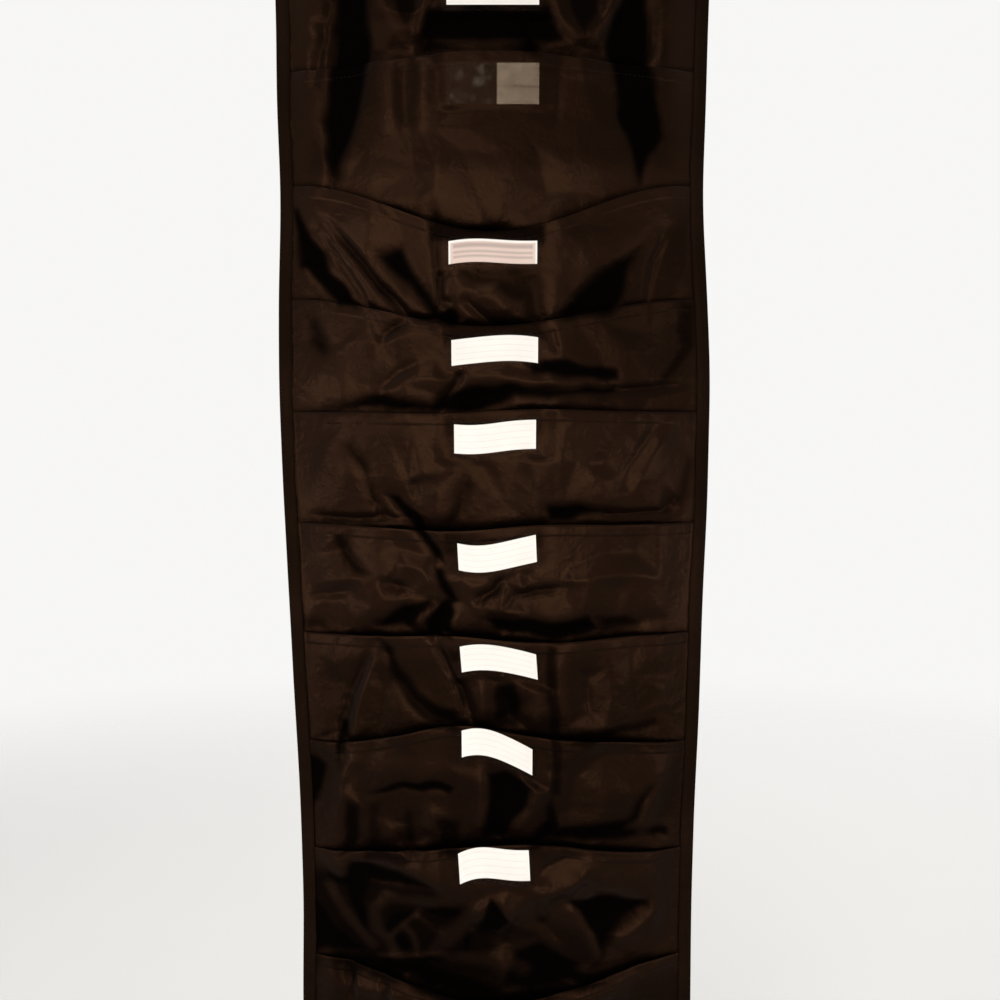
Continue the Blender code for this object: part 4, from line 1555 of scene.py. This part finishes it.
@dataclass
class Bindings(ClothAssembly):
    """Folded cloth tapes over both side edges and the bottom edge."""

    tape: float = 0.0005
    reach: float = 0.010
    inner: float = 0.0046
    front: float = 0.0051
    bottom_front: float = 0.0024
    low: float = -1.0308
    stations: int = 300
    bottom_stations: int = 120
    end_gap: float = 0.0003
    shoulder: float = 0.003
    stitch_inset: float = 0.0022
    stitch_low: float = 0.004
    stitch_top: float = 0.003
    stitch_end: float = 0.013
    front_lift: float = 0.00014
    bottom_lift: float = 0.00005
    rear_lift: float = 0.00004
    swell: float = 0.00022
    wander: float = 0.00035
    bottom_swell: float = 0.00012

    def section(self) -> Array:
        """Draw the outline of a folded side tape.

        Returns:
            Points as (distance from the outer edge, depth).
        """
        r, f, t, i = self.reach, self.front, self.tape, self.inner
        return np.array([
            (r, 0.0), (r * 0.6, 0.0), (r * 0.25, 0.0), (0.0012, 0.0001), (0.0004, 0.0006), (0.0, 0.0016),
            (0.0, f - 0.0016), (0.0004, f - 0.0006), (0.0012, f - 0.0001), (r * 0.25, f + 0.0001),
            (r * 0.6, f + 0.0001), (r - 0.0002, f), (r, f - 0.0002), (r, i), (r * 0.5, i),
            (0.0012, i - 0.0002), (0.0007, i - 0.0008), (0.0007, t + 0.0008), (0.0012, t + 0.0002),
            (r * 0.5, t), (r, t),
        ])

    def build_side(self, side: int, name: str) -> bpy.types.Object:
        """Build one side tape.

        Args:
            side: -1 for the left, 1 for the right.
            name: The piece's name.

        Returns:
            The tape, without its finish.
        """
        inward, depth = self.section().T
        edge = side * self.layout.width / 2
        pucker, wander = Lattice(0.007, 50 + side), Lattice(0.030, 60 + side)
        sections = []
        for z in np.linspace(self.low, self.layout.top, self.stations):
            soft = self.swell * pucker.at(0.0, z) + self.wander * wander.at(0.0, z)
            points = self.drape.hang(edge, depth + self.swell * pucker.at(0.1, z) * (depth > self.inner), z)
            points[:, 0] -= side * inward * (1.0 + soft / self.reach * np.clip(inward / self.reach, 0, 1))
            sections.append(points)
        return add_piece(loft(name, np.array(sections)))

    def build_bottom(self) -> bpy.types.Object:
        """Build the tape along the bottom edge.

        Returns:
            The tape, without its finish.
        """
        front, low, t = self.bottom_front, self.low, self.tape
        shoulder, top = self.layout.bottom + self.shoulder, self.layout.bottom + self.reach
        outline, z = np.array([
            (0.0, top), (0.0, shoulder), (0.0001, low + 0.0006), (0.0006, low), (front - 0.0006, low),
            (front - 0.0001, low + 0.0006), (front, shoulder), (front, top), (front - t, top),
            (front - t, low + 0.0012), (t, low + 0.0012), (t, top),
        ]).T
        end = self.layout.width / 2 - self.reach - self.end_gap
        pucker = Lattice(0.008, 71)
        sections = []
        for x in np.linspace(-end, end, self.bottom_stations):
            depth = outline + self.bottom_swell * pucker.at(x, 0.0) * (outline > front - t)
            depth = depth + self.drape.ripple(x, self.layout.bottom)
            sections.append(np.stack((self.drape.across(x, z), -depth, z), axis=-1))
        return add_piece(loft("bottom_tape", np.array(sections)))

    def dress(self, item: bpy.types.Object, node: str, flat: Spot) -> None:
        """Give a tape its finish and its place on the frame.

        Args:
            item: The tape.
            node: The node that it takes the place of.
            flat: The tape's width and length when it lies flat; not used.
        """
        sharpen(item.data, 50.0)
        paint(item, self.finishes[Look.TAPE])
        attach(item, "panel")
        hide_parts(node)
        LOG.info("binding %s", item.name)

    def sew(self) -> None:
        """Sew a row along each tape, front and back."""
        lay = self.layout
        zs = np.linspace(self.low + self.stitch_low, lay.top - self.stitch_top, self.stations)
        lines = []
        for side in (-1, 1):
            for depth in (self.front + self.front_lift, -self.rear_lift):
                line = self.drape.hang(side * lay.width / 2, depth, zs)
                line[:, 0] -= side * (self.reach - self.stitch_inset)
                lines.append(line)
        end = lay.width / 2 - self.stitch_end
        xs = np.linspace(-end, end, 90)
        for depth in (self.bottom_front + self.bottom_lift, -self.rear_lift):
            lines.append(self.drape.hang(xs, depth, lay.bottom + self.reach - self.stitch_inset))
        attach(self.sewing.sew("binding_stitches", lines, seed=5, pitch=0.003, length=0.0022), "panel")

    def make(self) -> None:
        """Build and dress the three tapes."""
        height = self.layout.top - self.low
        for side, word in ((-1, "left"), (1, "right")):
            item = self.build_side(side, f"side_tape_{word}")
            self.dress(item, f"side_binding_{word}", (0.0255, height))
        self.dress(self.build_bottom(), "bottom_binding", (0.0235, 0.3094))
        self.sew()


@dataclass(frozen=True)
class LabelHang:
    """How one soft label hangs, in millimetres and in shares of its width and height.

    It is bent out by curl, bowed up by bow and swayed along its length, and moved by shift and lift. Its
    ends drop to the right by turn. Its sides stay upright on a tilted mouth at upright 1, and turn with the
    mouth at 0. The film's open top is at film_top from the mouth.
    """

    curl: float = 0.0
    bow: float = 0.0
    shift: float = 0.0
    lift: float = 0.0
    narrow: float = 1.0
    height: float = 1.0
    sway: float = 0.0
    turn: float = 0.0
    upright: float = 1.0
    film_top: float = -6.5


@dataclass
class Pocket(ClothAssembly):
    """One pocket front with its hem, label sleeve and card."""

    index: int
    label: LabelHang
    has_card: bool
    grey_card: bool
    hem: float = 0.009
    hem_extra: float = 0.00035
    columns: int = 187
    near_rows: tuple[float, ...] = (0.0, 0.3, 0.9, 2.0, 3.6, 5.2, 6.8, 8.0, 8.8, 9.2, 9.8, 11.0)
    shown_from: float = 0.0128
    shown: float = 0.098
    shown_rows: int = 52
    hidden_rows: int = 26
    cover_fade: float = 0.02
    side_fade: float = 0.028
    sink_limit: float = 0.55
    sink_clear: float = 0.0025
    fold_limit: float = 0.0095
    hem_stitch: float = 0.0016
    hem_end: float = 0.002
    hem_side: float = 0.004
    hem_step: float = 0.0008
    lip: float = 0.0009
    lip_share: float = 0.85
    stitch_lift: float = 0.00008
    # Painted shade above and behind the next pocket's mouth: its start above the mouth, its fade and its
    # darkness
    shade_above: float = 0.006
    shade_over: float = 0.010
    shade_behind: float = 0.85
    sleeve_width: float = 0.074
    sleeve_low: float = -0.0372
    sleeve_seam: float = 0.0014
    seam_top: float = 0.001
    film: float = 0.00022
    film_rest: float = 0.00056
    film_bulge: float = 0.00098
    film_border: float = 0.0018
    film_step: float = 0.0011
    film_wave: float = 0.00010
    film_soft: float = 0.004
    film_grid: tuple[int, int] = (75, 32)
    thread_lift: float = 0.00006
    card_width: float = 0.068
    card_low: float = -0.0327
    card_top: float = -0.0097
    card_back: float = 0.00078
    card_face: float = 0.00112
    label_half: float = 0.039
    curl_middle: float = 0.55
    bow_middle: float = 0.4
    wave_limit: float = 0.04
    curl_limit: float = 0.06
    patch_top: float = 0.004
    patch_fade: float = 0.014
    patch_fade_low: float = 0.006
    still_depth: float = 0.009
    swing_share: float = 0.6

    @property
    def tag(self) -> str:
        """The pocket's number in its pieces' names."""
        return f"{self.index + 1:02d}"

    @property
    def label_middle(self) -> float:
        """Height of a card's middle in the label's frame."""
        return (self.card_low + self.card_top) / 2

    @property
    def label_slant(self) -> float:
        """How far the label's sides lean from its frame, per unit of height."""
        return self.label.upright * math.tan(self.layout.tilt(self.index))

    @property
    def film_top(self) -> float:
        """Height of the film's open top in the label's frame."""
        return self.label.film_top * MM

    def rows(self, height: Array) -> Array:
        """Space the rows of the front: close at the hem, even where it shows, wide behind the next pocket.

        Args:
            height: Height of the mouth over the seam, by column.

        Returns:
            Distances below the mouth, by row and column.
        """
        shown = np.linspace(self.shown_from, self.shown, self.shown_rows)
        hidden = np.linspace(0.0, 1.0, self.hidden_rows)[1:]
        rows = [np.full(height.shape, below) for below in (*(np.array(self.near_rows) * MM), *shown)]
        rows += [self.shown + (height - self.shown) * share for share in hidden]
        return np.array(rows)

    def label_place(self, x: Array, z: Array) -> tuple[Array, Array]:
        """Turn points of the front into the label's own frame.

        Args:
            x: Distances across the hanging front.
            z: Heights.

        Returns:
            Distances across and up the label.
        """
        turn = self.layout.tilt(self.index)
        rise = (z - self.layout.mouth_z(self.index, 0.0)) / math.cos(self.layout.lean)
        return x * math.cos(turn) - rise * math.sin(turn), x * math.sin(turn) + rise * math.cos(turn)

    def label_curl(self, across: Array) -> Array:
        """How far the label bends out at a distance from its middle."""
        return self.label.curl * MM * (self.curl_middle - (across / self.label_half) ** 2)

    def label_wave(self, across: Array) -> Array:
        """How far the label is bowed, swayed and turned up at a distance from its middle."""
        hang, share, sway = self.label, across / self.label_half, np.sin(math.pi * across / self.label_half)
        return (hang.bow * (self.bow_middle - share**2) + hang.sway * sway - hang.turn * share) * MM

    def label_share(self, hung: Array, z: Array) -> Array:
        """Work out the share of the label's stiff patch at each point.

        Args:
            hung: Distances across the hanging front.
            z: Heights.

        Returns:
            1 under the label, 0 away from it.
        """
        across, up = self.label_place(hung, z)
        rise = up - self.label_middle - self.label.lift * MM
        square = across - self.label.shift * MM + rise * self.label_slant
        rise = rise - self.label_wave(np.clip(square / self.label.narrow, -self.wave_limit, self.wave_limit))
        beside = np.abs(square) - self.sleeve_width / 2 * self.label.narrow
        beneath = (self.sleeve_low - self.label_middle) * self.label.height - rise
        above = up - self.patch_top
        outside = np.maximum(np.maximum(beneath / self.patch_fade_low, above / self.patch_fade), 0.0)
        return 1.0 - smooth(np.hypot(np.maximum(beside, 0.0) / self.patch_fade, outside))

    def depth(self, x: Array, z: Array) -> Array:
        """Work out the depth of the back of the front cloth, before the sides' ripple.

        Args:
            x: Distances across the flat panel.
            z: Heights.

        Returns:
            Depths in metres.
        """
        lay = self.layout
        base = lay.base_depth(self.index, x, z)
        foremost = base.copy()
        for other in range(self.index + 1, lay.pockets):
            foremost = foremost + lay.layer(x) * smooth((lay.mouth_z(other, x) - z) / self.cover_fade)
        hung = self.drape.across(x, z)
        folds = self.drape.sample(self.drape.folds, hung, z)
        folds = folds * smooth((lay.sewn_x - np.abs(x)) / self.side_fade)
        folds = np.clip(folds, -self.sink_limit * (foremost - self.sink_clear), self.fold_limit)
        share = (base - lay.panel_front) / (foremost - lay.panel_front)
        across, _ = self.label_place(hung, z)
        curl = self.label_curl(np.clip(across, -self.curl_limit, self.curl_limit))
        label = self.label_share(hung, z)
        return base + folds * share * (1.0 - label) + curl * label

    def hollow_and_painted_shade(self, x: Array, z: Array) -> Array:
        """Work out the painted shade at each point: in the folds and hollows, and above and behind the next
        mouth.

        Args:
            x: Distances across the flat panel.
            z: Heights.

        Returns:
            Shares of painted shade from 0 to 1.
        """
        painted_shade = self.drape.sample(self.drape.shade, self.drape.across(x, z), z)
        # Painted shade above and behind the next pocket's mouth
        if self.index + 1 < self.layout.pockets:
            above = self.layout.mouth_z(self.index + 1, x) + self.shade_above
            painted_shade = np.maximum(painted_shade, self.shade_behind * smooth((above - z) / self.shade_over))
        return painted_shade

    def build_front(self) -> bpy.types.Object:
        """Build the whole front, from one side tape to the other.

        Returns:
            The front, without its finish.
        """
        lay = self.layout
        xs = np.linspace(-lay.edge_x, lay.edge_x, self.columns)
        below = self.rows(lay.mouth_height(self.index, xs))
        x = np.broadcast_to(xs, below.shape)
        z = lay.mouth_z(self.index, x) - below
        side = smooth((lay.sewn_x - np.abs(x)) / self.hem_side)
        hem = self.hem_extra * smooth((self.hem - below) / self.hem_step) * side
        rounded = 1.0 - self.lip_share * (1.0 - smooth(below / self.lip))
        half = (lay.cloth / 2 + hem) * rounded
        middle = self.depth(x, z) + lay.cloth / 2
        face, back = (self.drape.hang(x, depth, z) for depth in (middle + half, middle - half))
        mesh = shell(f"pocket_cloth_{self.tag}", face, back)
        # Painted shade, kept as a point attribute that darkens the cloth's colour
        values = mesh.attributes.new("hollow_and_painted_shade", "FLOAT", "POINT")
        values.data.foreach_set("value", np.tile(self.hollow_and_painted_shade(x, z).ravel(), 2).astype(np.float32))
        sharpen(mesh, 70.0)
        return add_piece(mesh)

    def hem_line(self) -> Array:
        """Draw the line of the hem's stitches.

        Returns:
            Points just over the cloth.
        """
        end = self.layout.sewn_x - self.hem_end
        xs = np.linspace(-end, end, 120)
        z = self.layout.mouth_z(self.index, xs) - self.hem + self.hem_stitch
        lift = self.hem_extra + self.stitch_lift
        return self.drape.hang(xs, self.depth(xs, z) + self.layout.cloth + lift, z)

    def label_points(self, across: Array, up: Array, out: Array | float) -> Array:
        """Place points of the label.

        Args:
            across: Distances from the label's middle.
            up: Heights in the label's frame.
            out: Distances out from the cloth.

        Returns:
            Points in the part's frame.
        """
        hang, middle = self.label, self.label_middle
        rise = (up - middle) * hang.height + self.label_wave(across)
        placed = across * hang.narrow + hang.shift * MM - rise * self.label_slant
        local = np.stack((placed, -out - self.label_curl(placed), middle + hang.lift * MM + rise), axis=-1)
        matrix = self.layout.label_matrix(self.index)
        return local @ matrix[:3, :3].T + matrix[:3, 3]

    def build_sleeve(self) -> bpy.types.Object:
        """Build the clear film, sewn down on three sides and open at the top.

        Returns:
            The film, without its finish.
        """
        half = self.sleeve_width / 2
        columns, rows = self.film_grid
        ups = np.linspace(self.sleeve_low, self.film_top, rows)
        across, up = np.meshgrid(np.linspace(-half, half, columns), ups)
        inset = np.minimum(half - np.abs(across), up - self.sleeve_low)
        out = self.film_rest + self.film_bulge * smooth((inset - self.film_border) / self.film_step)
        wave = self.film_wave * Lattice(0.014, 80 + self.index).at(across, up)
        out = out + wave * smooth(inset / self.film_soft)
        sides = (self.label_points(across, up, level) for level in (out, out - self.film))
        return add_piece(shell(f"label_film_{self.tag}", *sides))

    def sleeve_line(self) -> Array:
        """Draw the line of the sleeve's stitches, down one side, along the bottom and up the other.

        Returns:
            Points just over the film's border.
        """
        half, low = self.sleeve_width / 2 - self.sleeve_seam, self.sleeve_low + self.sleeve_seam
        ups = np.linspace(self.film_top - self.seam_top, low, 16)
        bottom = np.linspace(-half, half, 40)[1:-1]
        side = np.full(ups.shape, half)
        across = np.concatenate((-side, bottom, side))
        up = np.concatenate((ups, np.full(bottom.shape, low), ups[::-1]))
        return self.label_points(across, up, self.film_rest + self.thread_lift)

    def build_card(self) -> bpy.types.Object:
        """Build the ruled card inside the sleeve.

        Returns:
            The card, without its finish.
        """
        half, height = self.card_width / 2, self.card_top - self.card_low
        across, up = np.meshgrid(np.linspace(-half, half, 41), np.linspace(self.card_low, self.card_top, 11))
        sides = (self.label_points(across, up, level) for level in (self.card_face, self.card_back))
        mesh = shell(f"paper_card_{self.tag}", *sides)
        layer = mesh.uv_layers.new(name="card")
        u = np.tile((across / self.card_width + 0.5).ravel(), 2)
        v = np.tile(((up - self.card_low) / height).ravel(), 2)
        for loop in mesh.loops:
            layer.data[loop.index].uv = (u[loop.vertex_index], v[loop.vertex_index])
        sharpen(mesh, 50.0)
        return add_piece(mesh)

    def swing(self, item: bpy.types.Object) -> None:
        """Bake a piece of the front's placement into its mesh; the depth where its middle would swing is
        worked out but not used.

        Args:
            item: The piece.
        """
        height = self.layout.mouth_z(self.index, 0.0) + self.swing_share * self.sleeve_low
        swinging = float(self.layout.base_depth(self.index, np.zeros(1), height)[0])
        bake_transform(item)

    def make(self) -> None:
        """Build and dress the pocket."""
        tag, finishes, sewing = self.tag, self.finishes, self.sewing
        front = self.build_front()
        paint(front, finishes[Look.CLOTH])
        self.swing(front)
        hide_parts(f"pocket_front_{tag}", f"pocket_side_left_{tag}", f"pocket_side_right_{tag}")
        self.swing(sewing.sew(f"hem_stitches_{tag}", [self.hem_line()], seed=10 + self.index))

        film = self.build_sleeve()
        paint(film, finishes[Look.VINYL if self.has_card else Look.CLOUDED_VINYL])
        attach(film, f"pocket_{tag}")
        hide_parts(f"label_sleeve_{tag}")
        fine = {"pitch": 0.0026, "length": 0.0019, "radius": 0.00013}
        row = sewing.sew(f"sleeve_stitches_{tag}", [self.sleeve_line()], seed=30, **fine)
        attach(row, f"pocket_{tag}")

        if self.has_card:
            card = self.build_card()
            paint(card, finishes[Look.GREY_CARD if self.grey_card else Look.CARD])
            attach(card, f"card_{tag}")
            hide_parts(f"label_card_{tag}")
        LOG.info("pocket %s: cloth, hem, sleeve%s", tag, " and card" if self.has_card else "")


@dataclass
class HeaderFittings:
    """The board in the casing and the two eyelets with their washers."""

    board: str = "header_board"
    metal: tuple[str, ...] = ("eyelet_left", "eyelet_right", "eyelet_washer_left", "eyelet_washer_right")

    def dress(self, finishes: Finishes) -> None:
        """Give the kept solids their finishes.

        Args:
            finishes: The shared materials.
        """
        paint(frame["nodes"][self.board], finishes[Look.BOARD])
        for name in self.metal:
            paint(frame["nodes"][name], finishes[Look.NICKEL])
        LOG.info("fittings: %s", ", ".join((self.board, *self.metal)))


@dataclass(frozen=True)
class Lamp:
    """One soft square lamp: its place, size, power and colour."""

    name: str
    place: Point
    size: float
    power: float
    colour: Point = (1.0, 0.95, 0.88)

    def light(self, target: Point) -> None:
        """Add the lamp, facing a point.

        Args:
            target: The point.
        """
        data = bpy.data.lights.new(self.name, "AREA")
        data.size, data.energy, data.color = self.size, self.power, self.colour
        item = bpy.data.objects.new(self.name, data)
        item.location = self.place
        item.rotation_euler = (Vector(target) - Vector(self.place)).to_track_quat("-Z", "Y").to_euler()
        item.visible_camera = False
        bpy.context.scene.collection.objects.link(item)


@dataclass
class Studio:
    """Camera, soft lamps, pale floor and background."""

    eye: Point = (0.0053, -1.0784, -0.380)
    pitch: float = 4.0
    lens: float = 50.4
    sensor: float = 36.0
    shift: float = -0.0167
    floor_z: float = -1.12
    floor_radius: float = 3.0
    background: Point = (0.93, 0.925, 0.915)
    world_light: float = 0.22
    middle: Point = (0.0, 0.0, -0.45)
    lamps: tuple[Lamp, ...] = (
        Lamp("key", (-0.30, -1.20, -0.50), 0.35, 3.4),
        Lamp("low_front", (0.10, -1.25, -0.88), 0.4, 4.3),
        Lamp("left_front", (-1.10, -1.00, -0.78), 0.4, 4.3, (1.0, 0.95, 0.90)),
        Lamp("right_front", (1.10, -1.00, -0.78), 0.4, 3.1, (1.0, 0.95, 0.90)),
        Lamp("high_front", (-0.40, -1.60, 0.50), 0.6, 7.8, (1.0, 0.96, 0.92)),
        Lamp("back", (0.6, 1.8, 0.7), 1.4, 16.0, (1.0, 0.98, 0.95)),
    )

    def camera(self) -> None:
        """Set the camera at the photograph's viewing angle."""
        data = bpy.data.cameras.new("camera")
        data.lens, data.sensor_width, data.shift_y = self.lens, self.sensor, self.shift
        item = bpy.data.objects.new("camera", data)
        item.location = self.eye
        item.rotation_euler = (math.radians(90.0 - self.pitch), 0.0, 0.0)
        bpy.context.scene.collection.objects.link(item)
        bpy.context.scene.camera = item

    def floor(self) -> None:
        """Lay the pale floor."""
        work = bmesh.new()
        drop = Matrix.Translation((0.0, 0.0, self.floor_z))
        bmesh.ops.create_circle(work, cap_ends=True, segments=64, radius=self.floor_radius, matrix=drop)
        mesh = bpy.data.meshes.new("floor")
        work.to_mesh(mesh)
        work.free()
        item = add_piece(mesh)
        paint(item, PaleFloor("pale_floor").make())

    def world(self) -> None:
        """Make a pale background that lights the object at a plain level."""
        world = bpy.data.worlds.new("studio")
        bpy.context.scene.world = world
        world.use_nodes = True
        book = NodeBook(world.node_tree)
        rays = ("Is Camera Ray", "Is Glossy Ray", "Is Transmission Ray")
        camera, glossy, passing = book.outputs("ShaderNodeLightPath", {}, *rays)
        seen = camera.math("MAXIMUM", glossy).math("MAXIMUM", passing)
        strength = seen * (1.0 - self.world_light) + self.world_light
        shade = book.add("ShaderNodeBackground", {}, {"Color": self.background, "Strength": strength})
        book.add("ShaderNodeOutputWorld", {}, {"Surface": shade})

    def build(self) -> None:
        """Set up the whole studio."""
        self.camera()
        for lamp in self.lamps:
            lamp.light(self.middle)
        self.floor()
        self.world()
        bpy.context.scene.view_settings.view_transform = "Standard"
        LOG.info("studio: camera, %d lamps, floor and background", len(self.lamps))


LABELS = (
    LabelHang(curl=0.6),
    LabelHang(curl=0.4, lift=-1.5, narrow=0.92, height=0.95),
    LabelHang(curl=0.5, bow=1.7, lift=6.4, narrow=0.97, height=0.74, sway=-1.0, turn=-0.7),
    LabelHang(curl=1.2, bow=3.3, shift=0.9, lift=3.4, narrow=0.95, height=0.84, sway=0.5),
    LabelHang(curl=1.8, bow=-0.8, shift=0.4, lift=1.7, narrow=0.90, height=0.96, sway=1.0, turn=0.6),
    LabelHang(curl=2.6, bow=-4.1, shift=1.3, lift=1.3, narrow=0.87, height=0.92, sway=1.1, upright=0.5),
    LabelHang(curl=2.6, bow=5.7, shift=6.0, lift=5.4, narrow=0.85, height=0.88, sway=-0.6, upright=1.7),
    LabelHang(
        curl=3.0, bow=9.0, shift=6.0, lift=6.8, narrow=0.80, height=0.92, sway=-1.2, turn=2.5,
        film_top=-8.8,
    ),
    LabelHang(
        curl=3.0, bow=5.5, lift=5.4, narrow=0.79, height=1.12, sway=-2.0, turn=-1.0, upright=0.0,
        film_top=-8.8,
    ),
    LabelHang(curl=0.6),
)
EMPTY_SLEEVES = (1,)
GREY_CARDS = (2,)


def main() -> None:
    """Build the organizer's looks piece by piece."""
    logging.basicConfig(level=logging.INFO, format="%(name)s: %(message)s")
    layout = Layout()
    drape = Drape(layout)
    finishes = {look: look.value.make() for look in Look}
    shared = (layout, drape, finishes, StitchMaker(finishes[Look.THREAD]))
    panel = BackPanel(*shared)
    panel.dress(panel.build())
    Bindings(*shared).make()
    for index, label in enumerate(LABELS):
        Pocket(*shared, index, label, index not in EMPTY_SLEEVES, index in GREY_CARDS).make()
    HeaderFittings().dress(finishes)
    Studio().build()


if __name__ == "__main__":
    main()
